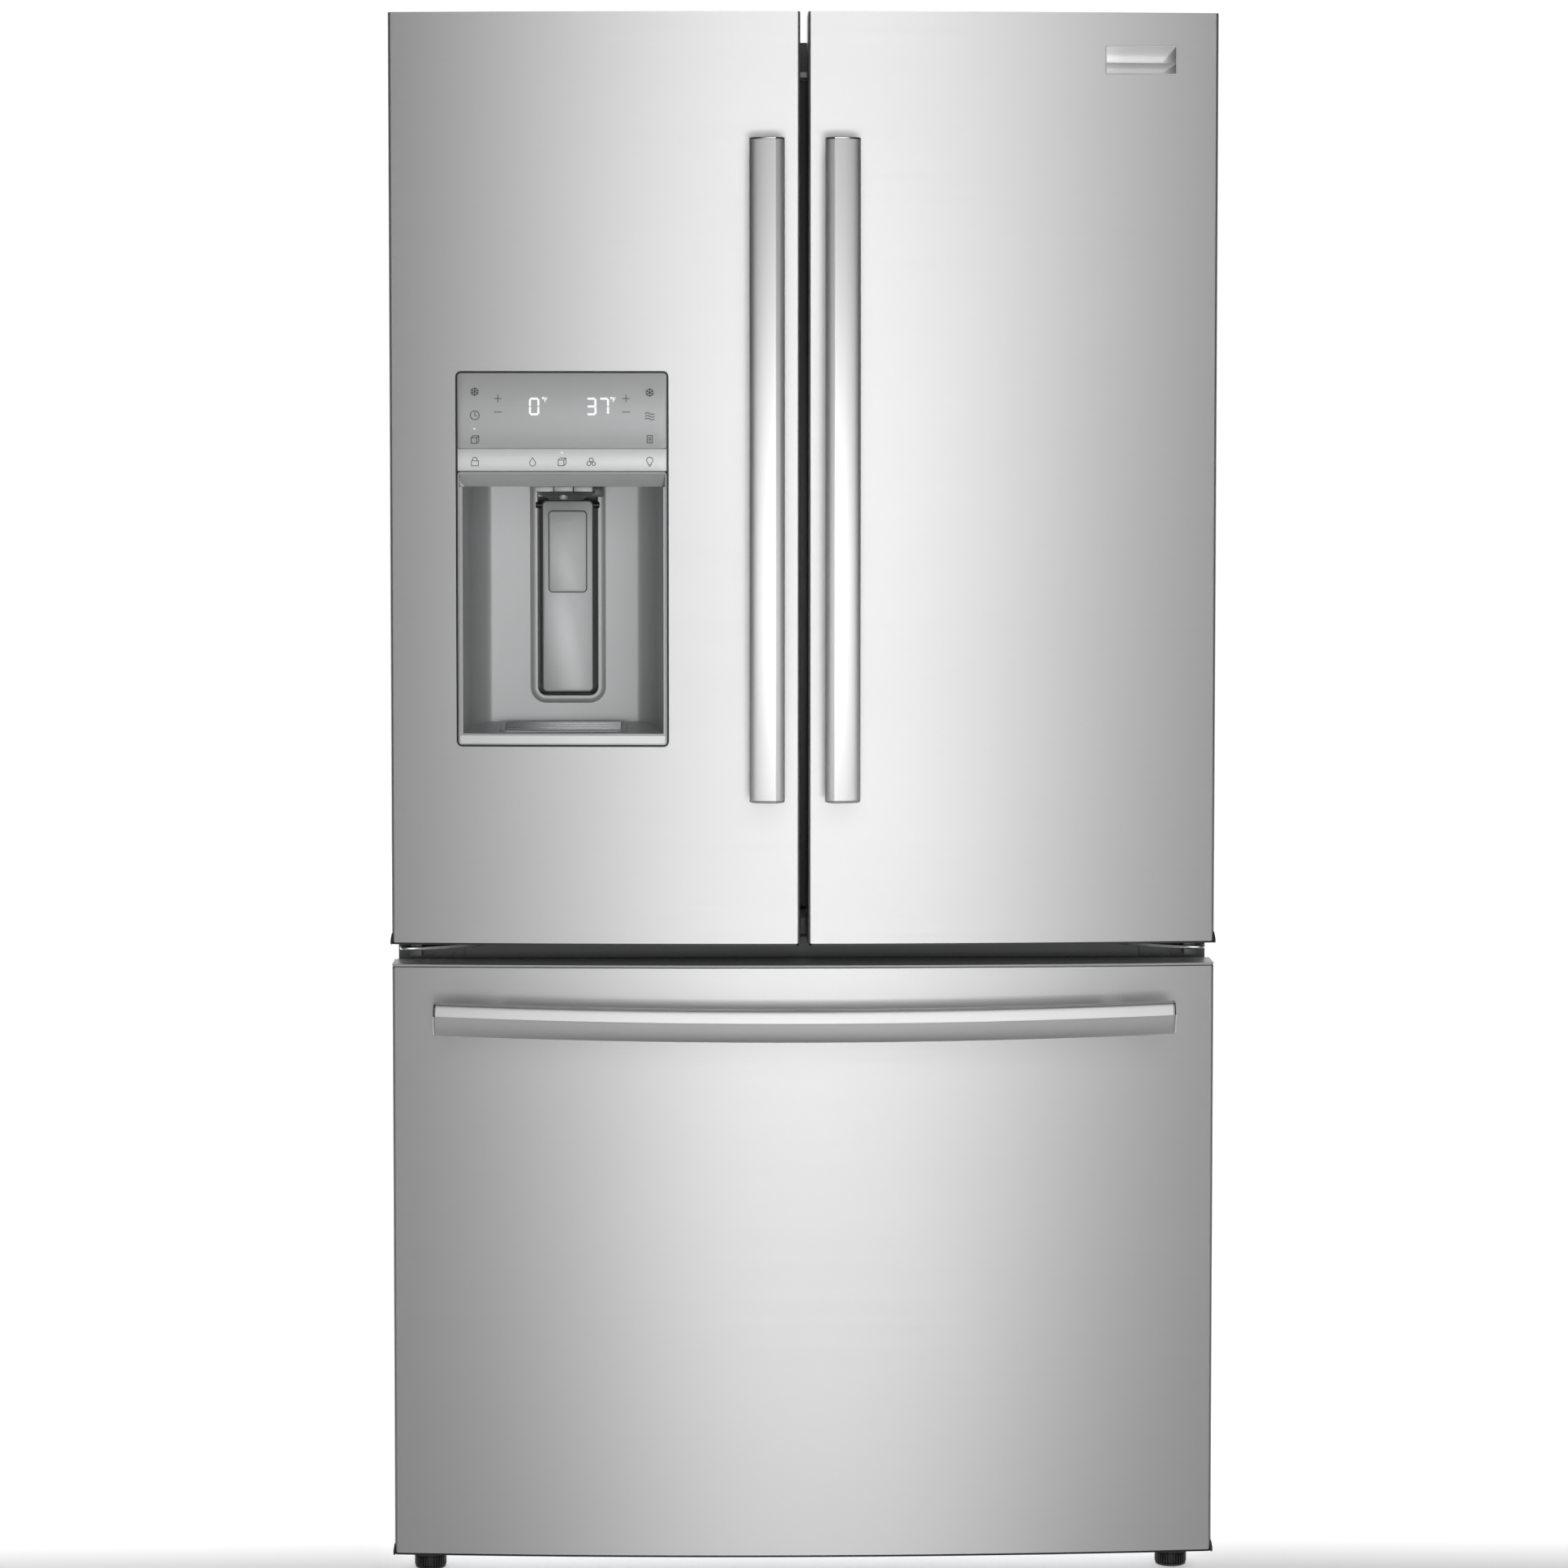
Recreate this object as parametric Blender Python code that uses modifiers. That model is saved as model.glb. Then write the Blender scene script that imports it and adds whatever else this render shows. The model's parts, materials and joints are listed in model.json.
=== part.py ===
# French door refrigerator: two doors over a freezer drawer, with a water and ice dispenser.
# Metres. +Z is up, -Y is the front, and +X is the right of someone facing the doors.
# The origin is at the middle of the space the object fills, on the floor.

import math

import bmesh
import bpy
from mathutils import Matrix, Vector

# Overall size
half_width = 0.4525
height = 1.742
rear_y = 0.4275
gap = 0.0003  # between pieces that touch

# Door hinges: the axis lies inside the door, near its outer side
hinge_x = 0.4265
hinge_y = -0.3215
pin_radius = 0.004
pin_clearance = 0.0007

# Doors and the drawer front
door_edge_y = hinge_y - 0.026
door_bow = 0.020
door_rear_y = hinge_y + 0.024
door_bottom = 0.724
centre_gap = 0.0055
drawer_bottom = 0.045
drawer_top = 0.702
skin = 0.0012
corner_radius = 0.003
plug_front_y = door_rear_y - 0.0225
gasket_rear_y = hinge_y + 0.0375
gasket_outer_x = 0.4305
gasket_width = 0.016
door_gasket_z = (0.734, 1.706)
drawer_gasket_z = (0.055, 0.692)

# Cabinet
cabinet_front_y = hinge_y + 0.038
cabinet_half = 0.449
cabinet_bottom = 0.036
cabinet_top = 1.714
shell_wall = 0.001
flange_inner_x = 0.412
shell_rear_y = rear_y - 0.0013
liner_wall = 0.002
food_half = 0.402
food_z = (0.755, 1.676)
food_rear_y = 0.330
freezer_half = 0.385
freezer_z = (0.085, 0.672)
freezer_low_rear_y = 0.195
freezer_step_z = 0.314
rail_z = (0.6765, 0.7502)
rail_depth = 0.026
machine_top = 0.300
machine_front_y = 0.200
machine_cover_y = rear_y - 0.0080

# Base
base_plate_z = (0.0300, 0.0345)
foot_x, foot_y = 0.420, -0.222
foot_radius = 0.0185
roller_x, roller_y, roller_radius = 0.395, 0.345, 0.018

# Water and ice dispenser, in the left door
dispenser_x = (-0.3805, -0.1474)
dispenser_z = (0.942, 1.353)
dispenser_mid = -0.264
recess_z = (0.957, 1.226)
recess_rear_y = -0.262
housing_rear_y = -0.2285
channel_half = 0.037
channel_z = (0.986, 1.216)
channel_rear_y = -0.234
paddle_axis_y, paddle_axis_z = -0.2655, 1.2045

# Centre seal that folds, on the left door
flipper_axis_x, flipper_axis_y = -0.0375, -0.2655
flipper_z = (0.7575, 1.672)

# Handles
handle_front_y = -0.4275
door_handle_x = (0.022, 0.060)
door_handle_z = (0.884, 1.605)
drawer_handle_half = 0.405
drawer_handle_z = 0.650
handle_sag = 0.010

# Shelves and drawers of the fresh food space
shelf_front_y = -0.165
inner_drawer_front_y = -0.125
upper_shelf_z = 1.410
middle_shelf_z = 1.235
crisper_deck_z = 1.056
crisper_rim_z = 1.034

# Freezer slides
slide_z = 0.435
slide_y = (-0.270, 0.170)


for old in list(bpy.data.objects):
    bpy.data.objects.remove(old, do_unlink=True)


def new_collection(name):
    collection = bpy.data.collections.new(name)
    bpy.context.scene.collection.children.link(collection)
    return collection


parts = new_collection("french_door_refrigerator")
cutters = new_collection("cutters")


def material(name, colour, roughness, metallic=0.0, alpha=1.0):
    made = bpy.data.materials.new(name)
    made.use_nodes = True
    shader = made.node_tree.nodes["Principled BSDF"]
    shader.inputs["Base Color"].default_value = (*colour, 1.0)
    shader.inputs["Roughness"].default_value = roughness
    shader.inputs["Metallic"].default_value = metallic
    shader.inputs["Alpha"].default_value = alpha
    return made


stainless = material("stainless", (0.62, 0.62, 0.61), 0.34, 1.0)
satin_metal = material("satin_metal", (0.70, 0.70, 0.69), 0.28, 1.0)
zinc_steel = material("zinc_steel", (0.55, 0.56, 0.57), 0.38, 1.0)
cabinet_paint = material("cabinet_paint", (0.33, 0.34, 0.35), 0.5, 0.3)
white_liner = material("white_liner", (0.86, 0.87, 0.87), 0.35)
grey_plastic = material("grey_plastic", (0.38, 0.39, 0.40), 0.5)
black_plastic = material("black_plastic", (0.02, 0.02, 0.022), 0.45)
seal_rubber = material("seal_rubber", (0.16, 0.16, 0.17), 0.7)
foam = material("foam", (0.80, 0.74, 0.52), 0.9)
clear_plastic = material("clear_plastic", (0.80, 0.84, 0.86), 0.12, 0.0, 0.45)
shelf_glass = material("shelf_glass", (0.75, 0.86, 0.84), 0.05, 0.0, 0.35)
compressor_black = material("compressor_black", (0.025, 0.025, 0.03), 0.4)
copper_tube = material("copper_tube", (0.72, 0.40, 0.26), 0.3, 1.0)


def add_object(name, mesh, collection):
    piece = bpy.data.objects.new(name, mesh)
    collection.objects.link(piece)
    if collection is cutters:
        piece.hide_render = True
        piece.display_type = "WIRE"
    return piece


def mesh_from(name, bm):
    mesh = bpy.data.meshes.new(name)
    bm.to_mesh(mesh)
    bm.free()
    return mesh


def cube_between(bm, low, high):
    size = [b - a for a, b in zip(low, high)]
    middle = [(a + b) / 2 for a, b in zip(low, high)]
    bmesh.ops.create_cube(bm, size=1.0, matrix=Matrix.Translation(middle) @ Matrix.Diagonal((*size, 1.0)))


def box(name, low, high, collection=parts):
    middle = Vector([(a + b) / 2 for a, b in zip(low, high)])
    bm = bmesh.new()
    cube_between(bm, Vector(low) - middle, Vector(high) - middle)
    piece = add_object(name, mesh_from(name, bm), collection)
    piece.location = middle
    return piece


def blocks(name, pairs, collection=cutters):
    # Several boxes that don't touch, as one cutter
    bm = bmesh.new()
    for low, high in pairs:
        cube_between(bm, low, high)
    return add_object(name, mesh_from(name, bm), collection)


axis_turn = {
    "X": Matrix(((0, 0, 1), (1, 0, 0), (0, 1, 0))),
    "Y": Matrix(((1, 0, 0), (0, 0, -1), (0, 1, 0))),
    "Z": Matrix.Identity(3),
}


def cylinder(name, centre, radius, length, axis="Z", segments=20, collection=cutters):
    bm = bmesh.new()
    bmesh.ops.create_cone(bm, cap_ends=True, segments=segments, radius1=radius, radius2=radius, depth=length)
    bm.transform(axis_turn[axis].to_4x4())
    piece = add_object(name, mesh_from(name, bm), collection)
    piece.location = centre
    return piece


def prism(name, outlines, low, high, axis="Z", collection=parts):
    # Flat outlines, the first outside and the rest holes, drawn across an axis and given a depth along it
    curve = bpy.data.curves.new(name, "CURVE")
    curve.dimensions = "2D"
    curve.fill_mode = "BOTH"
    curve.extrude = (high - low) / 2
    for outline in outlines:
        spline = curve.splines.new("POLY")
        spline.points.add(len(outline) - 1)
        for point, (u, v) in zip(spline.points, outline):
            point.co = (u, v, 0.0, 1.0)
        spline.use_cyclic_u = True
    return solid_from_curve(name, curve, axis_turn[axis], (low + high) / 2, axis, collection)


def solid_from_curve(name, curve, turn, along, axis, collection):
    sketch = bpy.data.objects.new(name + "_sketch", curve)
    cutters.objects.link(sketch)
    graph = bpy.context.evaluated_depsgraph_get()
    mesh = bpy.data.meshes.new_from_object(sketch.evaluated_get(graph))
    bpy.data.objects.remove(sketch, do_unlink=True)
    bm = bmesh.new()
    bm.from_mesh(mesh)
    bpy.data.meshes.remove(mesh)
    bmesh.ops.remove_doubles(bm, verts=bm.verts, dist=0.00001)
    bmesh.ops.recalc_face_normals(bm, faces=bm.faces)
    bm.transform(turn.to_4x4())
    piece = add_object(name, mesh_from(name, bm), collection)
    piece.location["XYZ".index(axis)] = along
    return piece


def tube(name, points, radius, collection=parts):
    curve = bpy.data.curves.new(name, "CURVE")
    curve.dimensions = "3D"
    curve.bevel_depth = radius
    curve.bevel_resolution = 2
    curve.use_fill_caps = True
    spline = curve.splines.new("POLY")
    spline.points.add(len(points) - 1)
    for point, place in zip(spline.points, points):
        point.co = (*place, 1.0)
    return solid_from_curve(name, curve, Matrix.Identity(3), 0.0, "Z", collection)


def turned(name, profile, centre, axis="Z", steps=24, collection=parts):
    # The profile is radius and height, from the top down its outer side
    bm = bmesh.new()
    verts = [bm.verts.new((radius, 0.0, z)) for radius, z in profile]
    for a, b in zip(verts, verts[1:]):
        bm.edges.new((a, b))
    piece = add_object(name, mesh_from(name, bm), collection)
    screw = piece.modifiers.new("turn", "SCREW")
    screw.steps = steps
    screw.render_steps = steps
    screw.use_merge_vertices = True
    screw.merge_threshold = 0.00001
    piece.location = centre
    piece.rotation_euler = {"X": (0, math.pi / 2, 0), "Y": (math.pi / 2, 0, 0), "Z": (0, 0, 0)}[axis]
    return piece


def open_tray(name, low, high, wall, collection=parts):
    # A thin-walled bin, open at the top
    middle = Vector([(a + b) / 2 for a, b in zip(low, high)])
    bm = bmesh.new()
    cube_between(bm, Vector(low) - middle, Vector(high) - middle)
    bm.faces.ensure_lookup_table()
    top = [face for face in bm.faces if face.normal.z > 0.5]
    bmesh.ops.delete(bm, geom=top, context="FACES_ONLY")
    piece = add_object(name, mesh_from(name, bm), collection)
    piece.location = middle
    solidify = piece.modifiers.new("wall", "SOLIDIFY")
    solidify.thickness = wall
    solidify.offset = -1.0
    solidify.use_even_offset = True
    return piece


def combine(piece, other, operation):
    boolean = piece.modifiers.new(operation.lower() + "_" + other.name, "BOOLEAN")
    boolean.operation = operation
    boolean.object = other
    return piece


def cut(piece, *others):
    for other in others:
        combine(piece, other, "DIFFERENCE")
    return piece


def join(piece, *others):
    for other in others:
        combine(piece, other, "UNION")
    return piece


def soften(piece, width, segments=2):
    bevel = piece.modifiers.new("soft_edges", "BEVEL")
    bevel.width = width
    bevel.segments = segments
    bevel.limit_method = "ANGLE"
    return piece


def finish(piece, made_of, pivot=None):
    piece.data.materials.clear()
    piece.data.materials.append(made_of)
    if pivot is not None:
        piece.parent = pivot
        piece.matrix_parent_inverse = Matrix.Translation(pivot.location).inverted()
    return piece


def pivot_at(name, place, parent=None):
    empty = bpy.data.objects.new(name, None)
    empty.empty_display_size = 0.03
    empty.location = place
    parts.objects.link(empty)
    if parent is not None:
        empty.parent = parent
        empty.matrix_parent_inverse = Matrix.Translation(parent.location).inverted()
    return empty


def rectangle(u0, u1, v0, v1):
    return [(u0, v0), (u1, v0), (u1, v1), (u0, v1)]


def fillet(outline, corners, radius, steps=3):
    # Replaces the numbered corners of an outline with arcs
    rounded = []
    for index, place in enumerate(outline):
        if index not in corners:
            rounded.append(place)
            continue
        corner = Vector(place)
        to_last = (Vector(outline[index - 1]) - corner).normalized()
        to_next = (Vector(outline[(index + 1) % len(outline)]) - corner).normalized()
        half_angle = to_last.angle(to_next) / 2
        centre = corner + (to_last + to_next).normalized() * radius / math.sin(half_angle)
        start = corner + to_last * radius / math.tan(half_angle) - centre
        end = corner + to_next * radius / math.tan(half_angle) - centre
        sweep = start.angle_signed(end)
        for step in range(steps + 1):
            turn = Matrix.Rotation(-sweep * step / steps, 2)
            rounded.append(tuple(centre + turn @ start))
    return rounded


def side_box(side, x_near, x_far, y0, y1, z0, z1):
    # The corners of a box whose X is measured outwards from the centre plane
    xs = sorted((side * x_near, side * x_far))
    return (xs[0], y0, z0), (xs[1], y1, z1)


def bow_y(x):
    # Front surface of the doors and the drawer: a shallow bow across the whole width
    return door_edge_y - door_bow * (1.0 - (x / half_width) ** 2)


def bowed_outline(x0, x1, back, inset=0.0, radius=0.0, steps=14):
    front = [(x0 + (x1 - x0) * i / steps, 0.0) for i in range(steps + 1)]
    outline = [(x, bow_y(x) + inset) for x, _ in front] + [(x1, back), (x0, back)]
    return fillet(outline, (0, steps), radius) if radius else outline


# ---- Cabinet ----

def make_cabinet():
    shell = box("cabinet_shell", (-cabinet_half, cabinet_front_y, cabinet_bottom),
                (cabinet_half, shell_rear_y, cabinet_top))
    inner = cabinet_half - shell_wall
    cut(shell,
        box("shell_inside", (-inner, cabinet_front_y + shell_wall, -0.1),
            (inner, rear_y + 0.1, cabinet_top - shell_wall), cutters),
        box("shell_mouth", (-flange_inner_x, cabinet_front_y - 0.1, -0.1),
            (flange_inner_x, cabinet_front_y + 0.1, food_z[1] + 0.006), cutters))
    finish(shell, cabinet_paint)

    back = box("back_panel", (-0.447, rear_y - shell_wall, machine_top + 0.002),
               (0.447, rear_y, cabinet_top - 0.002))
    finish(back, cabinet_paint)


def food_liner_box(grow):
    return ((-food_half - grow, cabinet_front_y + 0.002, food_z[0] - grow),
            (food_half + grow, food_rear_y + grow, food_z[1] + grow))


def ledge_heights():
    # Tops of the ledges that carry the shelves, the crisper deck and the crispers
    return (upper_shelf_z - gap, middle_shelf_z - gap, crisper_deck_z - gap, crisper_rim_z - gap)


def make_food_liner():
    low, high = food_liner_box(liner_wall)
    liner = box("fresh_food_liner", (low[0], cabinet_front_y, low[2]), high)
    lip = cabinet_front_y + liner_wall
    join(liner, box("food_flange", (-flange_inner_x + gap, cabinet_front_y, rail_z[1] + gap),
                    (flange_inner_x - gap, lip, food_z[1] + 0.006 - gap), cutters))
    cut(liner, box("food_space", (-food_half, cabinet_front_y - 0.1, food_z[0]),
                   (food_half, food_rear_y, food_z[1]), cutters))
    ledges = []
    for top in ledge_heights():
        for side in (-1, 1):
            ledges.append(side_box(side, 0.386, food_half + 0.001, inner_drawer_front_y, 0.300, top - 0.007, top))
    join(liner, blocks("food_ledges", ledges))
    finish(liner, white_liner)


def freezer_outline(grow):
    return [
        (cabinet_front_y + 0.002, freezer_z[0] - grow), (freezer_low_rear_y + grow, freezer_z[0] - grow),
        (freezer_low_rear_y + grow, freezer_step_z - grow), (food_rear_y + grow, freezer_step_z - grow),
        (food_rear_y + grow, freezer_z[1] + grow), (cabinet_front_y + 0.002, freezer_z[1] + grow)]


def make_freezer_liner():
    half = freezer_half + liner_wall
    liner = prism("freezer_liner", [freezer_outline(liner_wall)], -half, half, "X")
    lip = cabinet_front_y + liner_wall
    join(liner, box("freezer_flange", (-flange_inner_x + gap, cabinet_front_y, drawer_gasket_z[0] - 0.005),
                    (flange_inner_x - gap, lip + 0.001, rail_z[0] - gap), cutters))
    space = freezer_outline(0.0)
    space[0] = (cabinet_front_y - 0.1, space[0][1])
    space[-1] = (cabinet_front_y - 0.1, space[-1][1])
    cut(liner, prism("freezer_space", [space], -freezer_half, freezer_half, "X", cutters))
    finish(liner, white_liner)


def make_insulation():
    half = cabinet_half - shell_wall - gap
    front = cabinet_front_y + liner_wall + 0.0015
    foamed = box("cabinet_insulation", (-half, front, base_plate_z[1] + 0.002),
                 (half, shell_rear_y - gap, cabinet_top - shell_wall - gap))
    low, high = food_liner_box(liner_wall + gap)
    outer = freezer_half + liner_wall + gap
    around = freezer_outline(liner_wall + gap)
    around[0] = (front - 0.1, around[0][1])
    around[-1] = (front - 0.1, around[-1][1])
    cut(foamed,
        box("foam_food", (low[0], front - 0.1, low[2]), high, cutters),
        prism("foam_freezer", [around], -outer, outer, "X", cutters),
        box("foam_machine_space", (-0.6, machine_front_y, -0.1), (0.6, rear_y + 0.1, machine_top), cutters),
        box("foam_rail", (-0.6, front - 0.1, rail_z[0] - gap),
            (0.6, cabinet_front_y + rail_depth + gap, rail_z[1] + gap), cutters),
        blocks("foam_foot_pockets", [side_box(side, foot_x - 0.012, foot_x + 0.012, foot_y - 0.012,
                                              foot_y + 0.012, 0.0, 0.062) for side in (-1, 1)]))
    finish(foamed, foam)

    rail = box("centre_rail", (-flange_inner_x + gap, cabinet_front_y, rail_z[0]),
               (flange_inner_x - gap, cabinet_front_y + rail_depth, rail_z[1]))
    finish(soften(rail, 0.0008, 1), cabinet_paint)


def make_base():
    plate = box("base_frame", (-0.4475, -0.270, base_plate_z[0]), (0.4475, 0.415, base_plate_z[1]))
    holes = [cylinder("foot_hole_" + name, (side * foot_x, foot_y, 0.03), 0.0055, 0.05)
             for side, name in ((-1, "left"), (1, "right"))]
    slots = blocks("roller_slots", [side_box(side, roller_x - 0.013, roller_x + 0.013, roller_y - 0.022,
                                             roller_y + 0.022, 0.0, 0.06) for side in (-1, 1)])
    cut(plate, *holes, slots)
    ears = []
    for side in (-1, 1):
        for near in (roller_x - 0.0165, roller_x + 0.0135):
            ears.append(side_box(side, near, near + 0.003, roller_y - 0.010, roller_y + 0.010, 0.009, 0.0302))
    axles = [cylinder("axle_" + name, (side * roller_x, roller_y, roller_radius), 0.0035, 0.031, "X", 12)
             for side, name in ((-1, "left"), (1, "right"))]
    mast = box("fan_mast", (0.072, 0.290, base_plate_z[1] - 0.001), (0.078, 0.330, 0.200), cutters)
    motor = cylinder("fan_motor", (0.058, 0.310, 0.165), 0.022, 0.030, "X", 20)
    spindle = cylinder("fan_spindle", (0.030, 0.310, 0.165), 0.0028, 0.040, "X", 12)
    join(plate, blocks("roller_ears", ears), *axles, mast, motor, spindle)
    finish(plate, zinc_steel)

    cover = box("machine_cover", (-0.445, machine_cover_y, 0.046), (0.445, machine_cover_y + 0.001, 0.2985))
    louvres = []
    for column in range(4):
        for row in range(8):
            x = -0.36 + column * 0.20
            z = 0.095 + row * 0.020
            louvres.append(((x, machine_cover_y - 0.01, z), (x + 0.12, machine_cover_y + 0.01, z + 0.006)))
    cut(cover, blocks("louvre_slots", louvres))
    join(cover,
         cylinder("cord_gland", (0.405, rear_y - 0.0042, 0.075), 0.011, 0.0084, "Y", 16),
         cylinder("water_inlet", (-0.400, rear_y - 0.0042, 0.075), 0.013, 0.0084, "Y", 16))
    finish(cover, zinc_steel)


def make_machinery():
    body = turned("compressor", [(0.0, 0.238), (0.035, 0.235), (0.062, 0.224), (0.078, 0.200), (0.082, 0.175),
                                 (0.082, 0.148), (0.086, 0.146), (0.086, 0.138), (0.082, 0.136), (0.080, 0.090),
                                 (0.068, 0.062), (0.040, 0.050), (0.0, 0.048)], (0.270, 0.310, 0.0))
    feet = box("compressor_plate", (0.180, 0.235, base_plate_z[1] + gap), (0.360, 0.385, 0.040), cutters)
    pad = cylinder("compressor_pad", (0.270, 0.310, 0.046), 0.045, 0.016)
    join(body, feet, pad)
    finish(body, compressor_black)

    points = []
    for row in range(7):
        y = 0.232 + row * 0.026
        ends = (-0.380, -0.070) if row % 2 == 0 else (-0.070, -0.380)
        for layer, z in enumerate((0.075, 0.150)):
            run = ends if layer == 0 else ends[::-1]
            points += [(run[0], y, z), (run[1], y, z)]
    route = [points[0]]
    for place in points[1:]:
        if (Vector(place) - Vector(route[-1])).length > 0.001:
            route.append(place)
    finish(tube("condenser_coil", route, 0.0035), copper_tube)

    cover = box("evaporator_cover", (-0.380, 0.262, 0.322), (0.380, 0.2645, 0.664))
    motor = cylinder("evaporator_motor", (0.0, 0.274, 0.560), 0.018, 0.020, "Y", 20)
    spindle = cylinder("evaporator_spindle", (0.0, 0.292, 0.560), 0.0028, 0.030, "Y", 12)
    join(cover, motor, spindle)
    finish(cover, white_liner)


def make_fan(name, centre, axis, radius, blades=5):
    pivot = pivot_at(name + "_axis", centre)
    hub = cylinder(name, centre, radius * 0.28, 0.014, axis, 20, parts)
    bm = bmesh.new()
    for index in range(blades):
        turn = Matrix.Rotation(index * math.tau / blades, 4, "Z")
        pitch = Matrix.Rotation(math.radians(28), 4, "X")
        length = radius * 0.80
        middle = Matrix.Translation((radius * 0.22 + length / 2, 0.0, 0.0))
        shape = Matrix.Diagonal((length, radius * 0.52, 0.0016, 1.0))
        bmesh.ops.create_cube(bm, size=1.0, matrix=turn @ middle @ pitch @ shape)
    bm.transform(axis_turn[axis].to_4x4())
    wings = add_object(name + "_blades", mesh_from(name + "_blades", bm), cutters)
    wings.location = centre
    join(hub, wings)
    cut(hub, cylinder(name + "_bore", centre, 0.0031, 0.05, axis, 12))
    finish(hub, black_plastic, pivot)


def make_ground_parts():
    for side, name in ((-1, "left"), (1, "right")):
        pivot = pivot_at("levelling_foot_" + name + "_axis", (side * foot_x, foot_y, 0.0))
        foot = turned("levelling_foot_" + name, [
            (0.0, 0.056), (0.0045, 0.056), (0.0045, 0.019), (0.0095, 0.019), (0.0095, 0.013),
            (0.0165, 0.011), (foot_radius, 0.009), (foot_radius, 0.002), (0.0165, 0.0), (0.0, 0.0)],
            pivot.location)
        finish(foot, black_plastic, pivot)
        pivot = pivot_at("rear_roller_" + name + "_axis", (side * roller_x, roller_y, roller_radius))
        roller = cylinder("rear_roller_" + name, pivot.location, roller_radius, 0.022, "X", 28, parts)
        cut(roller, cylinder("roller_bore_" + name, pivot.location, 0.0039, 0.05, "X", 16))
        finish(roller, black_plastic, pivot)


def make_hinges():
    for side, name in ((-1, "left"), (1, "right")):
        x = side * hinge_x
        z = cabinet_top + gap
        top = box("top_hinge_" + name, *side_box(side, 0.378, 0.4455, -0.2745, -0.205, z, z + 0.004))
        arm = box("hinge_arm_" + name, *side_box(side, hinge_x - 0.009, hinge_x + 0.009,
                                                hinge_y, -0.270, z, z + 0.004), cutters)
        nose = cylinder("hinge_nose_" + name, (x, hinge_y, z + 0.002), 0.009, 0.004)
        pin = cylinder("top_pin_" + name, (x, hinge_y, z - 0.006), pin_radius, 0.018, segments=16)
        join(top, arm, nose, pin)
        finish(top, zinc_steel)

        low, high = side_box(side, 0.370, 0.4480, -0.2795, -0.195, z, 1.7385)
        cover = box("hinge_cover_" + name, low, high)
        reach = side_box(side, hinge_x - 0.010, hinge_x + 0.010, hinge_y, -0.270, z + 0.0048, 1.7370)
        join(cover, box("cover_reach_" + name, *reach, cutters),
             cylinder("cover_nose_" + name, (x, hinge_y, (z + 0.0048 + 1.7370) / 2), 0.010, 1.7370 - z - 0.0048))
        wall = 0.0018
        cut(cover, box("cover_inside_" + name, (low[0] + wall, low[1] + wall, z - 0.1),
                       (high[0] - wall, high[1] - wall, high[2] - wall), cutters),
            box("cover_slot_" + name, *side_box(side, hinge_x - 0.0098, hinge_x + 0.0098, -0.30, -0.265,
                                               z - 0.1, z + 0.0045), cutters))
        finish(cover, grey_plastic)

        centre = box("centre_hinge_" + name, *side_box(side, 0.375, 0.445, -0.3345, cabinet_front_y - gap,
                                                      0.7135, 0.7165))
        flange = box("hinge_flange_" + name, *side_box(side, 0.375, 0.445, cabinet_front_y - 0.0027,
                                                      cabinet_front_y - gap, 0.6965, 0.7225), cutters)
        bush = cylinder("hinge_bush_" + name, (x, hinge_y, 0.7195), 0.008, 0.0080)
        pin = cylinder("centre_pin_" + name, (x, hinge_y, 0.7300), pin_radius, 0.026, segments=16)
        join(centre, flange, bush, pin)
        finish(centre, zinc_steel)


# ---- Doors ----

def notch_box(side, grow):
    # Clearance at the top of a door for the hinge arm and its cover
    low, high = side_box(side, hinge_x - 0.0115 - grow, half_width + 0.05, -0.343 - grow, door_rear_y + 0.05,
                         cabinet_top - 0.0005 - grow, height + 0.05)
    return low, high


def make_door_shell(side, name, pivot):
    xs = sorted((side * centre_gap, side * half_width))
    panel = prism(name + "_door_panel", [bowed_outline(*xs, door_rear_y, 0.0, corner_radius)],
                  door_bottom, height)
    inside = prism(name + "_door_inside", [bowed_outline(xs[0] + skin, xs[1] - skin, door_rear_y + 0.05, skin,
                                                        corner_radius - skin)],
                   door_bottom + skin, height - skin, "Z", cutters)
    cut(inside, box(name + "_notch_walls", *notch_box(side, skin), cutters))
    pin_holes = [cylinder(name + "_pin_hole_" + str(i), (side * hinge_x, hinge_y, z),
                          pin_radius + pin_clearance, 0.02, segments=16)
                 for i, z in enumerate((door_bottom, cabinet_top))]
    cut(panel, inside, box(name + "_notch", *notch_box(side, 0.0), cutters), *pin_holes)
    return finish(panel, stainless, pivot)


def dispenser_box(grow, y0, y1):
    return ((dispenser_x[0] - grow, y0, dispenser_z[0] - grow),
            (dispenser_x[1] + grow, y1, dispenser_z[1] + grow))


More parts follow.
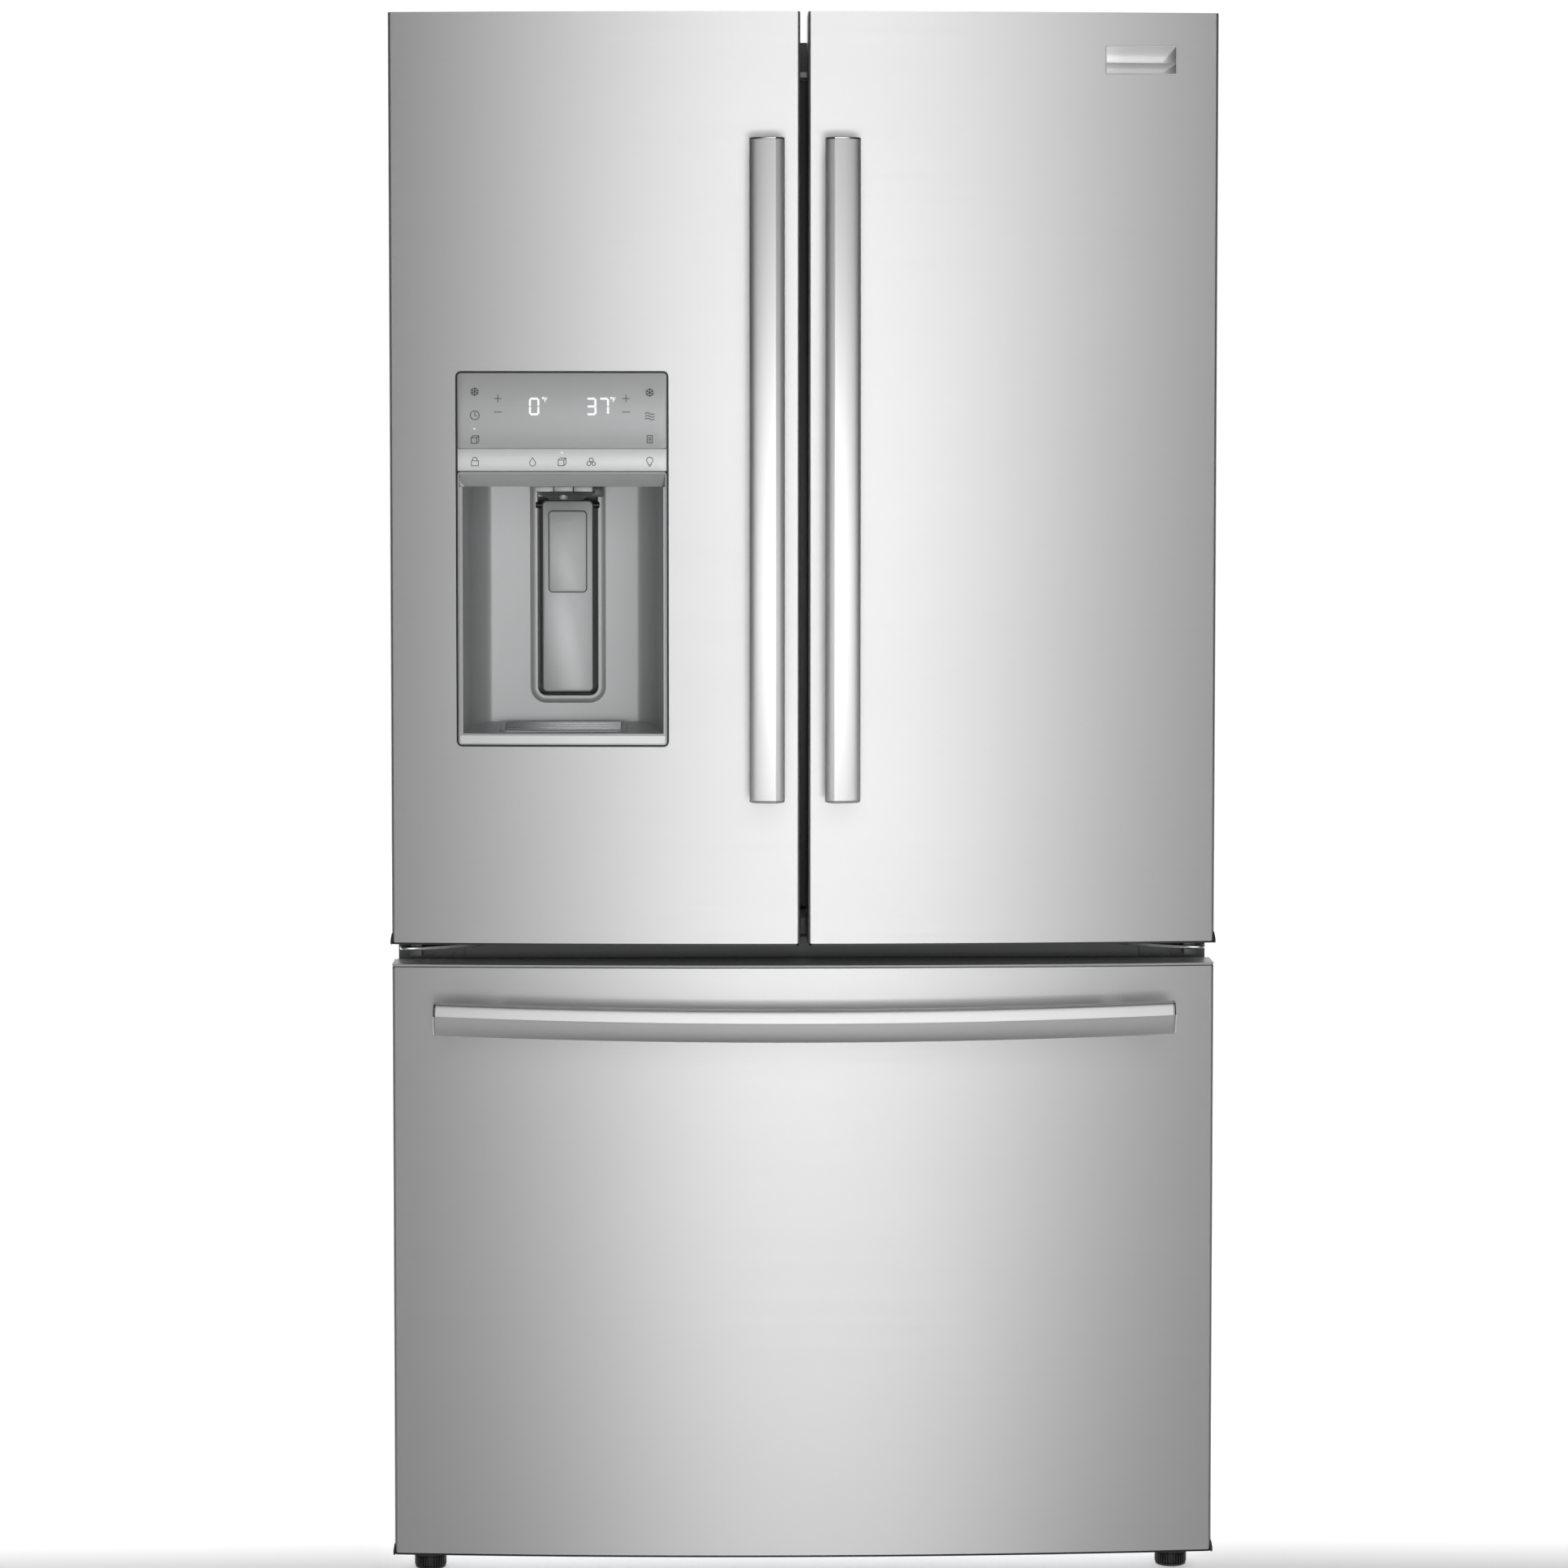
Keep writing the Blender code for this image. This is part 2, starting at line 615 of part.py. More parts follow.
def make_door_liner(side, name, pivot, with_dispenser):
    xs = sorted((side * (centre_gap + skin + gap), side * (half_width - skin - gap)))
    liner = box(name + "_door_liner", (xs[0], plug_front_y, door_bottom + skin + gap),
                (xs[1], door_rear_y, height - skin - gap))
    wall = box(name + "_dyke", *side_box(side, 0.055, 0.396, door_rear_y - 0.001, -0.2435, 0.766, 1.665),
               cutters)
    hollow = box(name + "_dyke_hollow", *side_box(side, 0.066, 0.385, door_rear_y, -0.2, 0.777, 1.654), cutters)
    cut(wall, hollow)
    join(liner, wall)
    if with_dispenser:
        join(liner, box("dispenser_back", *dispenser_box(0.0045, door_rear_y - 0.001, -0.2225), cutters))
        lugs = [((-0.0560, flipper_axis_y - 0.010, z), (flipper_axis_x + 0.0025, flipper_axis_y + 0.0025, z + 0.012))
                for z in (0.7850, 1.6330)]
        join(liner, blocks("flipper_lugs", lugs),
             *[cylinder("flipper_pin_" + str(i), (flipper_axis_x, flipper_axis_y, z), 0.0020, 0.020, segments=12)
               for i, z in enumerate((0.798, 1.632))])
        cut(liner, box("dispenser_opening", *dispenser_box(0.0, -0.5, housing_rear_y + gap), cutters))
    holes = [cylinder(name + "_liner_hole_" + str(i), (side * hinge_x, hinge_y, z), 0.0062, 0.06, segments=16)
             for i, z in enumerate((door_bottom, cabinet_top))]
    cut(liner, box(name + "_liner_notch", *notch_box(side, skin + gap), cutters), *holes)
    finish(liner, white_liner, pivot)


def make_gasket(name, x0, x1, z0, z1, pivot):
    outer = rectangle(x0, x1, z0, z1)
    inner = rectangle(x0 + gasket_width, x1 - gasket_width, z0 + gasket_width, z1 - gasket_width)
    ring = prism(name, [outer, inner], door_rear_y + gap, gasket_rear_y, "Y")
    finish(ring, seal_rubber, pivot)


def bow_cutter(name, clearance):
    outline = bowed_outline(-half_width, half_width, -0.25, -clearance, 0.0, 28)
    return prism(name, [outline], drawer_bottom, height, "Z", cutters)


def bowed_bar(name, section, half_length, centre, vertical):
    # A flat bar that bows outwards: its section is turned through a shallow arc about a far axis
    radius = (half_length ** 2 + handle_sag ** 2) / (2 * handle_sag)
    sweep = math.asin(half_length / radius)
    bm = bmesh.new()
    if vertical:
        verts = [bm.verts.new((u, v, 0.0)) for u, v in section]
    else:
        verts = [bm.verts.new((0.0, v, u)) for u, v in section]
    bm.faces.new(verts)
    far = Vector((0.0, radius, 0.0))
    axis = Vector((1.0, 0.0, 0.0)) if vertical else Vector((0.0, 0.0, 1.0))
    bmesh.ops.rotate(bm, verts=bm.verts, cent=far, matrix=Matrix.Rotation(-sweep, 3, axis))
    bmesh.ops.spin(bm, geom=bm.verts[:] + bm.edges[:] + bm.faces[:], cent=far, axis=axis,
                   angle=2 * sweep, steps=14)
    bmesh.ops.recalc_face_normals(bm, faces=bm.faces)
    bar = add_object(name, mesh_from(name, bm), parts)
    bar.location = centre
    return bar


def make_door_handle(side, name, pivot):
    near, far = door_handle_x
    middle_z = sum(door_handle_z) / 2
    half_length = (door_handle_z[1] - door_handle_z[0]) / 2
    section = [(near, 0.008), (near, 0.0045), (near + 0.003, 0.0018), (near + 0.0095, 0.0), (near + 0.022, 0.0006),
               (far - 0.006, 0.0022), (far - 0.0015, 0.0050), (far, 0.0085), (far - 0.001, 0.0125),
               (far - 0.005, 0.0145), (near + 0.005, 0.0145), (near + 0.001, 0.0120)]
    section = [(side * u, v) for u, v in section]
    bar = bowed_bar(name + "_door_handle", section, half_length, (0.0, handle_front_y, middle_z), True)
    posts = []
    for index, z in enumerate((door_handle_z[0] + 0.030, door_handle_z[1] - 0.060)):
        low, high = side_box(side, near + 0.009, far - 0.009, handle_front_y + 0.012, -0.3620, z, z + 0.030)
        posts.append(box(name + "_handle_post_" + str(index), low, high, cutters))
    join(bar, *posts)
    cut(bar, bow_cutter(name + "_handle_seat", gap))
    finish(bar, satin_metal, pivot)


def make_bin(name, side, z0, z1, pivot):
    low, high = side_box(side, 0.0670, 0.3840, door_rear_y + gap, -0.2050, z0, z1)
    finish(open_tray(name, low, high, 0.0025), clear_plastic, pivot)


def make_doors():
    for side, name in ((-1, "left"), (1, "right")):
        pivot = pivot_at(name + "_door_hinge", (side * hinge_x, hinge_y, door_bottom))
        panel = make_door_shell(side, name, pivot)
        if side < 0:
            cut(panel, box("panel_opening", *dispenser_box(0.0, -0.5, -0.25), cutters))
            make_dispenser(pivot)
            make_flipper(pivot)
        make_door_liner(side, name, pivot, side < 0)
        xs = sorted((side * (centre_gap + 0.005), side * gasket_outer_x))
        make_gasket(name + "_door_gasket", *xs, *door_gasket_z, pivot)
        make_door_handle(side, name, pivot)
        make_bin(name + "_upper_bin", side, 1.450, 1.560, pivot)
        make_bin(name + "_lower_bin", side, 0.779, 0.880, pivot)


def make_dispenser(pivot):
    low, high = dispenser_box(-gap, -0.5, housing_rear_y)
    outline = bowed_outline(low[0], high[0], housing_rear_y, -0.0012)
    housing = prism("dispenser_housing", [outline], low[2], high[2])
    mouth = (dispenser_x[0] + 0.004, dispenser_x[1] - 0.004)
    back = (dispenser_mid - 0.080, dispenser_mid + 0.080)
    curve = [(0.0, 0.0), (0.16, 0.30), (0.40, 0.58), (0.70, 0.84), (1.0, 1.0)]
    depth = recess_rear_y + 0.375
    left_wall = [(mouth[0] + (back[0] - mouth[0]) * u, -0.375 + depth * v) for u, v in curve]
    right_wall = [(mouth[1] + (back[1] - mouth[1]) * u, -0.375 + depth * v) for u, v in reversed(curve)]
    recess = prism("dispenser_recess", [left_wall + right_wall], *recess_z, "Z", cutters)
    channel_sides = rectangle(dispenser_mid - channel_half, dispenser_mid + channel_half, *channel_z)
    channel = prism("dispenser_channel", [fillet(channel_sides, (0, 1), 0.012, 4)], recess_rear_y - 0.01,
                    channel_rear_y, "Y", cutters)
    pocket = prism("panel_pocket", [bowed_outline(dispenser_x[0] + 0.003, dispenser_x[1] - 0.003, -0.245, -0.1)],
                   recess_z[1] + 0.0165, dispenser_z[1] - 0.0035, "Z", cutters)
    cut(housing, recess, channel, pocket)
    finish(housing, black_plastic, pivot)

    outline = bowed_outline(dispenser_x[0] + 0.0036, dispenser_x[1] - 0.0036, -0.346, -0.0016)
    face = prism("dispenser_panel", [outline], recess_z[1] + 0.0171, dispenser_z[1] - 0.0041)
    finish(face, grey_plastic, pivot)

    nozzle = turned("dispenser_nozzle", [(0.0, recess_z[1] - gap), (0.033, recess_z[1] - gap), (0.033, 1.2195),
                                         (0.030, 1.2145), (0.022, 1.2110), (0.019, 1.2065), (0.0, 1.2065)],
                    (dispenser_mid, -0.3050, 0.0))
    bracket = box("nozzle_bracket", (dispenser_mid - 0.014, -0.300, 1.2140),
                  (dispenser_mid + 0.014, recess_rear_y - gap, recess_z[1] - gap), cutters)
    join(nozzle, bracket)
    finish(nozzle, grey_plastic, pivot)

    tray = box("drip_tray", (dispenser_mid - 0.072, -0.350, recess_z[0] + gap),
               (dispenser_mid + 0.072, -0.270, recess_z[0] + 0.0070))
    rows = [((dispenser_mid - 0.062, -0.343 + i * 0.012, recess_z[0] + 0.0020),
             (dispenser_mid + 0.062, -0.337 + i * 0.012, 1.0)) for i in range(6)]
    cut(tray, blocks("drip_tray_slots", rows))
    finish(tray, satin_metal, pivot)

    hinge = pivot_at("dispenser_paddle_axis", (dispenser_mid, paddle_axis_y, paddle_axis_z), pivot)
    flat = fillet(rectangle(dispenser_mid - 0.0285, dispenser_mid + 0.0285, 0.9965, paddle_axis_z), (0, 1), 0.010)
    paddle = prism("dispenser_paddle", [flat], paddle_axis_y - 0.0045, paddle_axis_y, "Y")
    pad = fillet(rectangle(dispenser_mid - 0.022, dispenser_mid + 0.022, 1.105, 1.196), (0, 1, 2, 3), 0.005)
    join(paddle,
         prism("paddle_pad", [pad], paddle_axis_y - 0.0075, paddle_axis_y - 0.004, "Y", cutters),
         cylinder("paddle_pins", hinge.location, 0.0035, 0.0710, "X", 16))
    finish(paddle, black_plastic, hinge)


def make_flipper(pivot):
    hinge = pivot_at("flipper_axis", (flipper_axis_x, flipper_axis_y, flipper_z[0]), pivot)
    front = cabinet_front_y
    bar = box("flipper_mullion", (flipper_axis_x + 0.0040, front, flipper_z[0]), (0.0275, front + 0.022, flipper_z[1]))
    barrel = cylinder("flipper_barrel", (flipper_axis_x, flipper_axis_y, (0.7985 + 1.6315) / 2), 0.0042,
                      1.6315 - 0.7985, segments=16)
    web = box("flipper_web", (flipper_axis_x, flipper_axis_y - 0.0025, 0.7985),
              (flipper_axis_x + 0.005, flipper_axis_y + 0.0025, 1.6315), cutters)
    join(bar, barrel, web)
    cut(bar, *[cylinder("barrel_bore_" + str(i), (flipper_axis_x, flipper_axis_y, z), 0.0025, 0.030, segments=12)
               for i, z in enumerate((0.800, 1.630))])
    finish(bar, black_plastic, hinge)


# ---- Fresh food space ----

def make_food_space():
    for name, z in (("upper_shelf", upper_shelf_z), ("middle_shelf", middle_shelf_z)):
        shelf = box(name, (-0.4010, shelf_front_y, z), (0.4010, 0.290, z + 0.0050))
        finish(soften(shelf, 0.001, 1), shelf_glass)

    deck = box("crisper_deck", (-0.4010, inner_drawer_front_y, crisper_deck_z), (0.4010, 0.290, crisper_deck_z + 0.006))
    stem = box("deck_stem", (-0.003, inner_drawer_front_y, crisper_rim_z - 0.003),
               (0.003, 0.290, crisper_deck_z + 0.001), cutters)
    foot = box("deck_foot", (-0.010, inner_drawer_front_y, crisper_rim_z - gap - 0.003),
               (0.010, 0.290, crisper_rim_z - gap), cutters)
    join(deck, stem, foot)
    finish(deck, white_liner)

    for side, name in ((-1, "left"), (1, "right")):
        pivot = pivot_at(name + "_crisper_slide", (side * 0.197, inner_drawer_front_y, 0.96))
        low, high = side_box(side, 0.0130, 0.3820, inner_drawer_front_y, 0.2150, 0.886, crisper_rim_z + 0.003)
        crisper = open_tray("crisper_" + name, low, high, 0.0025)
        rim_low, rim_high = side_box(side, 0.0045, 0.3885, inner_drawer_front_y, 0.2150, crisper_rim_z,
                                     crisper_rim_z + 0.003)
        rim = prism("crisper_rim_" + name, [
            rectangle(rim_low[0], rim_high[0], rim_low[1], rim_high[1]),
            rectangle(low[0] + 0.002, high[0] - 0.002, low[1] + 0.002, high[1] - 0.002)],
            rim_low[2], rim_high[2], "Z", cutters)
        grip = box("crisper_grip_" + name, (low[0] + 0.06, inner_drawer_front_y - 0.008, 1.000),
                   (high[0] - 0.06, inner_drawer_front_y + 0.001, 1.006), cutters)
        join(crisper, rim, grip)
        finish(crisper, clear_plastic, pivot)

    pivot = pivot_at("deli_drawer_slide", (0.0, inner_drawer_front_y, 0.81))
    deli = open_tray("deli_drawer", (-0.3850, inner_drawer_front_y, food_z[0] + 0.0006), (0.3850, 0.2150, 0.865),
                     0.0030)
    grip = box("deli_grip", (-0.25, inner_drawer_front_y - 0.008, 0.845), (0.25, inner_drawer_front_y + 0.001, 0.851),
               cutters)
    join(deli, grip)
    finish(deli, clear_plastic, pivot)

    maker = box("ice_maker", (-0.4000, -0.1550, 1.4700), (-0.1300, 0.2500, food_z[1] - 0.0006))
    finish(soften(maker, 0.006, 2), white_liner)

    spigot = turned("water_filter", [(0.0, 0.155), (0.020, 0.155), (0.024, 0.150), (0.024, 0.118), (0.030, 0.112),
                                     (0.030, -0.060), (0.036, -0.066), (0.036, -0.120), (0.0, -0.120)],
                    (0.335, 0.030, 1.625), "Y")
    head = box("filter_head", (0.305, 0.100, 1.630), (0.365, 0.150, food_z[1] - 0.0006), cutters)
    join(spigot, head)
    finish(spigot, grey_plastic)


# ---- Freezer drawer ----

def make_freezer_drawer():
    pivot = pivot_at("freezer_drawer_slide", (0.0, door_rear_y, slide_z))
    panel = prism("drawer_panel", [bowed_outline(-half_width, half_width, door_rear_y, 0.0, corner_radius, 28)],
                  drawer_bottom, drawer_top)
    inner = half_width - skin
    inside = prism("drawer_inside", [bowed_outline(-inner, inner, door_rear_y + 0.05, skin,
                                                  corner_radius - skin, 28)],
                   drawer_bottom + skin, drawer_top - skin, "Z", cutters)
    cut(panel, inside)
    finish(panel, stainless, pivot)

    edge = inner - gap
    liner = box("drawer_liner", (-edge, plug_front_y, drawer_bottom + skin + gap),
                (edge, door_rear_y, drawer_top - skin - gap))
    finish(liner, white_liner, pivot)
    make_gasket("drawer_gasket", -gasket_outer_x, gasket_outer_x, *drawer_gasket_z, pivot)

    top = drawer_handle_z + 0.0185
    section = [(top - 0.001, 0.0120), (top - 0.0005, 0.0080), (top - 0.0030, 0.0040), (top - 0.0145, 0.0),
               (top - 0.0240, 0.0022), (top - 0.0340, 0.0070), (top - 0.0368, 0.0105), (top - 0.0355, 0.0140),
               (top - 0.0310, 0.0150), (top - 0.0060, 0.0150)]
    bar = bowed_bar("drawer_handle", [(u - drawer_handle_z, v) for u, v in section], drawer_handle_half,
                    (0.0, handle_front_y, drawer_handle_z), False)
    posts = [box("drawer_handle_post_" + name, *side_box(side, 0.330, 0.360, handle_front_y + 0.016, -0.340,
                                                        drawer_handle_z - 0.009, drawer_handle_z + 0.009), cutters)
             for side, name in ((-1, "left"), (1, "right"))]
    join(bar, *posts)
    cut(bar, bow_cutter("drawer_handle_seat", gap))
    finish(bar, satin_metal, pivot)

    frame = box("drawer_frame", (-0.3600, -0.2920, slide_z - 0.008), (0.3600, -0.2800, slide_z + 0.008))
    rails = [box("drawer_rail_" + name, *side_box(side, 0.3590, 0.3715, door_rear_y + gap, slide_y[1] - 0.005,
                                                 slide_z - 0.008, slide_z + 0.008), cutters)
             for side, name in ((-1, "left"), (1, "right"))]
    join(frame, *rails)
    finish(frame, zinc_steel, pivot)

    rim_z = slide_z + 0.008 + gap
    basket = open_tray("freezer_basket", (-0.3520, -0.2740, 0.1000), (0.3520, 0.1600, rim_z + 0.0030), 0.0030)
    rim = prism("basket_rim", [rectangle(-0.3655, 0.3655, -0.2740, 0.1600),
                               rectangle(-0.3500, 0.3500, -0.2720, 0.1580)], rim_z, rim_z + 0.0030, "Z", cutters)
    join(basket, rim)
    finish(basket, white_liner, pivot)

    tray_pivot = pivot_at("freezer_tray_slide", (0.0, -0.2700, rim_z + 0.0035), pivot)
    tray = open_tray("freezer_tray", (-0.3550, -0.2720, rim_z + 0.0034), (0.3550, -0.0500, rim_z + 0.0850), 0.0025)
    finish(tray, clear_plastic, tray_pivot)

    for side, name in ((-1, "left"), (1, "right")):
        fixed = box("freezer_rail_" + name, *side_box(side, 0.3745, freezer_half - gap, *slide_y,
                                                     slide_z - 0.020, slide_z + 0.020))
        cut(fixed, box("rail_groove_" + name, *side_box(side, 0.3600, 0.3795, slide_y[0] - 0.01, slide_y[1] + 0.01,
                                                       slide_z - 0.015, slide_z + 0.015), cutters))
        finish(fixed, zinc_steel)
        middle_pivot = pivot_at("freezer_slide_" + name + "_travel", (side * 0.373, slide_y[0], slide_z))
        middle = box("freezer_slide_" + name, *side_box(side, 0.3670, 0.3790, slide_y[0] + 0.004,
                                                       slide_y[1] - 0.004, slide_z - 0.014, slide_z + 0.014))
        cut(middle, box("slide_groove_" + name, *side_box(side, 0.3600, 0.3720, slide_y[0] - 0.01,
                                                         slide_y[1] + 0.01, slide_z - 0.009, slide_z + 0.009),
                        cutters))
        finish(middle, zinc_steel, middle_pivot)


make_cabinet()
make_food_liner()
make_freezer_liner()
make_insulation()
make_base()
make_machinery()
make_fan("condenser_fan", (0.025, 0.310, 0.165), "X", 0.075)
make_fan("evaporator_fan", (0.0, 0.298, 0.560), "Y", 0.052)
make_ground_parts()
make_hinges()
make_doors()
make_food_space()
make_freezer_drawer()
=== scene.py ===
import json
import math

import bmesh
import bpy
from mathutils import Matrix, Vector


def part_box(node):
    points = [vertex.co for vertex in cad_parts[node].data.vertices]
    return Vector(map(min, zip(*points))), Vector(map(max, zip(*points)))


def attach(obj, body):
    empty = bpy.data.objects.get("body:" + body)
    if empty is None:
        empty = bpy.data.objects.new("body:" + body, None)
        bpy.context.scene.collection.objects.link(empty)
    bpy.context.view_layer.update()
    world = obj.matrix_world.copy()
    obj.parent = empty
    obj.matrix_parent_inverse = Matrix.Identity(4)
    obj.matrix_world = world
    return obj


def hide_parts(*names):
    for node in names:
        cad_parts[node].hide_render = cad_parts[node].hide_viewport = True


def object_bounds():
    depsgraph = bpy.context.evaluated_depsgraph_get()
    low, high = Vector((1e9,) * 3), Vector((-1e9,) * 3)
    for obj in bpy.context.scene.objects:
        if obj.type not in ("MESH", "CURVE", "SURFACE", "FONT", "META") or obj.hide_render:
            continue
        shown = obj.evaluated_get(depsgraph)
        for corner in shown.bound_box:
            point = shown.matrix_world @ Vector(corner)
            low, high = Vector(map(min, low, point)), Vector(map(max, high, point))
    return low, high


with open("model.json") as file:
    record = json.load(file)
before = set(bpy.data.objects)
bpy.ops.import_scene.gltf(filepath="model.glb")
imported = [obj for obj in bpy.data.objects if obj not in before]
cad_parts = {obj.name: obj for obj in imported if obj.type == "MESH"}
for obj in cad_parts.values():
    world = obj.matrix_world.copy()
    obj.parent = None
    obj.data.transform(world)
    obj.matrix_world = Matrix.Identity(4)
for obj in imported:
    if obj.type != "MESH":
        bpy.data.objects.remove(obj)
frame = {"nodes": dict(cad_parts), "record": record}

firstBounds = [list(map(float, corner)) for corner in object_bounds()]
low, high = (Vector(corner) for corner in firstBounds)
scene = bpy.context.scene
print("frame loaded,", len(frame["nodes"]), "nodes")


# Shader tools

def plug(tree, slot, value):
    if isinstance(value, Flow):
        tree.links.new(value.socket, slot)
    elif isinstance(value, bpy.types.NodeSocket):
        tree.links.new(value, slot)
    else:
        slot.default_value = value


class Flow:
    # A number on its way through a material, so that maths on it reads as maths
    def __init__(self, tree, socket):
        self.tree = tree
        self.socket = socket

    def maths(self, operation, first, second):
        made = self.tree.nodes.new("ShaderNodeMath")
        made.operation = operation
        plug(self.tree, made.inputs[0], first)
        plug(self.tree, made.inputs[1], second)
        return Flow(self.tree, made.outputs[0])

    def __add__(self, other):
        return self.maths("ADD", self, other)

    def __radd__(self, other):
        return self.maths("ADD", other, self)

    def __sub__(self, other):
        return self.maths("SUBTRACT", self, other)

    def __rsub__(self, other):
        return self.maths("SUBTRACT", other, self)

    def __mul__(self, other):
        return self.maths("MULTIPLY", self, other)

    def __rmul__(self, other):
        return self.maths("MULTIPLY", other, self)

    def over(self, edge, width):
        # 0 below the edge and 1 above it, with a soft step
        made = self.tree.nodes.new("ShaderNodeMapRange")
        made.interpolation_type = "SMOOTHSTEP"
        plug(self.tree, made.inputs["Value"], self)
        made.inputs["From Min"].default_value = edge - width / 2
        made.inputs["From Max"].default_value = edge + width / 2
        return Flow(self.tree, made.outputs["Result"])


class Finish:
    # One material: its Principled shader and the nodes in front of it
    def __init__(self, name, colour, roughness, metallic=0.0, **fixed):
        self.material = bpy.data.materials.new(name)
        self.material.use_nodes = True
        self.tree = self.material.node_tree
        self.shader = self.tree.nodes["Principled BSDF"]
        self.shader.inputs["Base Color"].default_value = (*colour, 1.0)
        self.shader.inputs["Roughness"].default_value = roughness
        self.shader.inputs["Metallic"].default_value = metallic
        for socketName, value in fixed.items():
            self.shader.inputs[socketName.replace("_", " ")].default_value = value
        self.material.diffuse_color = (*colour, 1.0)
        self.place = self.node("ShaderNodeTexCoord", output="Object").socket

    def node(self, kind, settings=None, inputs=None, output=0):
        made = self.tree.nodes.new(kind)
        for setting, value in (settings or {}).items():
            setattr(made, setting, value)
        for slot, value in (inputs or {}).items():
            plug(self.tree, made.inputs[slot], value)
        return Flow(self.tree, made.outputs[output])

    def noise(self, stretch, scale=1.0, detail=3.0, rough=0.5, turn=(0.0, 0.0, 0.0)):
        where = self.node("ShaderNodeMapping", {}, {"Vector": self.place, "Scale": stretch,
                                                    "Rotation": turn})
        return self.node("ShaderNodeTexNoise", {}, {
            "Vector": where, "Scale": scale, "Detail": detail, "Roughness": rough})

    def blend(self, amount, first, second):
        made = self.node("ShaderNodeMix", {"data_type": "RGBA"}, {}, "Result")
        mix = made.socket.node
        plug(self.tree, mix.inputs[0], amount)
        plug(self.tree, mix.inputs[6], (*first, 1.0) if isinstance(first, tuple) else first)
        plug(self.tree, mix.inputs[7], (*second, 1.0) if isinstance(second, tuple) else second)
        return Flow(self.tree, mix.outputs[2])

    def colour(self, value):
        plug(self.tree, self.shader.inputs["Base Color"], value)

    def rough(self, value):
        plug(self.tree, self.shader.inputs["Roughness"], value)

    def bump(self, height, strength, distance):
        made = self.node("ShaderNodeBump", {}, {"Height": height, "Strength": strength,
                                                "Distance": distance}, "Normal")
        plug(self.tree, self.shader.inputs["Normal"], made)


def shade(colour, factor):
    return tuple(min(1.0, channel * factor) for channel in colour)


# Finishes

def brushedMetal(name, colour, roughness, grain, contrast=0.03, anisotropic=0.0, turn=0.0, relief=0.05):
    # grain holds the streak counts per metre along X, Y and Z
    steel = Finish(name, colour, roughness, 1.0, Anisotropic=anisotropic, Anisotropic_Rotation=turn)
    fine = steel.noise(grain, detail=4.0, rough=0.6)
    broad = steel.noise(tuple(0.11 * count for count in grain), detail=2.0)
    smudge = steel.noise((3.0, 3.0, 2.0), detail=2.0)
    streak = fine * 0.7 + broad * 0.3
    steel.colour(steel.blend(streak, shade(colour, 1.0 - contrast), shade(colour, 1.0 + contrast)))
    steel.rough(streak * 0.10 + smudge * 0.04 + (roughness - 0.07))
    steel.bump(fine, relief, 0.0004)
    return steel.material


def mouldedPlastic(name, colour, roughness, grainSize=0.0009, relief=0.12, variation=0.04, **fixed):
    plastic = Finish(name, colour, roughness, 0.0, **fixed)
    count = 1.0 / grainSize
    texture = plastic.noise((count, count, count), detail=2.0)
    cloud = plastic.noise((7.0, 7.0, 7.0), detail=3.0)
    plastic.colour(plastic.blend(cloud, shade(colour, 1.0 - variation), shade(colour, 1.0 + variation)))
    plastic.rough(cloud * 0.08 + texture * 0.06 + (roughness - 0.07))
    plastic.bump(texture, relief, 0.0003)
    return plastic.material


def enamel(name, colour, roughness, metallic=0.0, peel=0.0022, relief=0.16):
    paint = Finish(name, colour, roughness, metallic)
    count = 1.0 / peel
    pebble = paint.node("ShaderNodeTexVoronoi", {"feature": "SMOOTH_F1"}, {
        "Vector": paint.node("ShaderNodeMapping", {}, {"Vector": paint.place,
                                                       "Scale": (count, count, count)}),
        "Scale": 1.0}, "Distance")
    cloud = paint.noise((4.0, 4.0, 4.0), detail=3.0)
    paint.colour(paint.blend(cloud, shade(colour, 0.94), shade(colour, 1.06)))
    paint.rough(cloud * 0.10 + pebble * 0.05 + (roughness - 0.07))
    paint.bump(pebble, relief, 0.0003)
    return paint.material


def zincPlate(name, colour, roughness):
    zinc = Finish(name, colour, roughness, 1.0)
    spangle = zinc.node("ShaderNodeTexVoronoi", {"feature": "F1"}, {
        "Vector": zinc.node("ShaderNodeMapping", {}, {"Vector": zinc.place, "Scale": (150.0, 150.0, 150.0)}),
        "Scale": 1.0}, "Color")
    cell = zinc.node("ShaderNodeSeparateColor", {}, {"Color": spangle}, "Red")
    cloud = zinc.noise((12.0, 12.0, 12.0), detail=4.0)
    zinc.colour(zinc.blend(cell * 0.6 + cloud * 0.4, shade(colour, 0.86), shade(colour, 1.12)))
    zinc.rough(cell * 0.12 + cloud * 0.08 + (roughness - 0.10))
    zinc.bump(cloud, 0.08, 0.0005)
    return zinc.material


def clearMoulding(name, colour, alpha, roughness=0.12):
    clear = Finish(name, colour, roughness, 0.0, Coat_Weight=0.3, IOR=1.5)
    facing = clear.node("ShaderNodeLayerWeight", {}, {"Blend": 0.25}, "Facing")
    ripple = clear.noise((28.0, 28.0, 28.0), detail=2.0)
    plug(clear.tree, clear.shader.inputs["Alpha"], facing * (0.95 - alpha) + alpha)
    clear.rough(ripple * 0.10 + (roughness - 0.05))
    clear.bump(ripple, 0.05, 0.0004)
    return clear.material


def sealRubber(name, colour):
    rubber = Finish(name, colour, 0.62)
    dust = rubber.noise((60.0, 60.0, 60.0), detail=4.0)
    rubber.colour(rubber.blend(dust, shade(colour, 0.86), shade(colour, 1.18)))
    rubber.rough(dust * 0.16 + 0.54)
    rubber.bump(dust, 0.10, 0.0004)
    return rubber.material


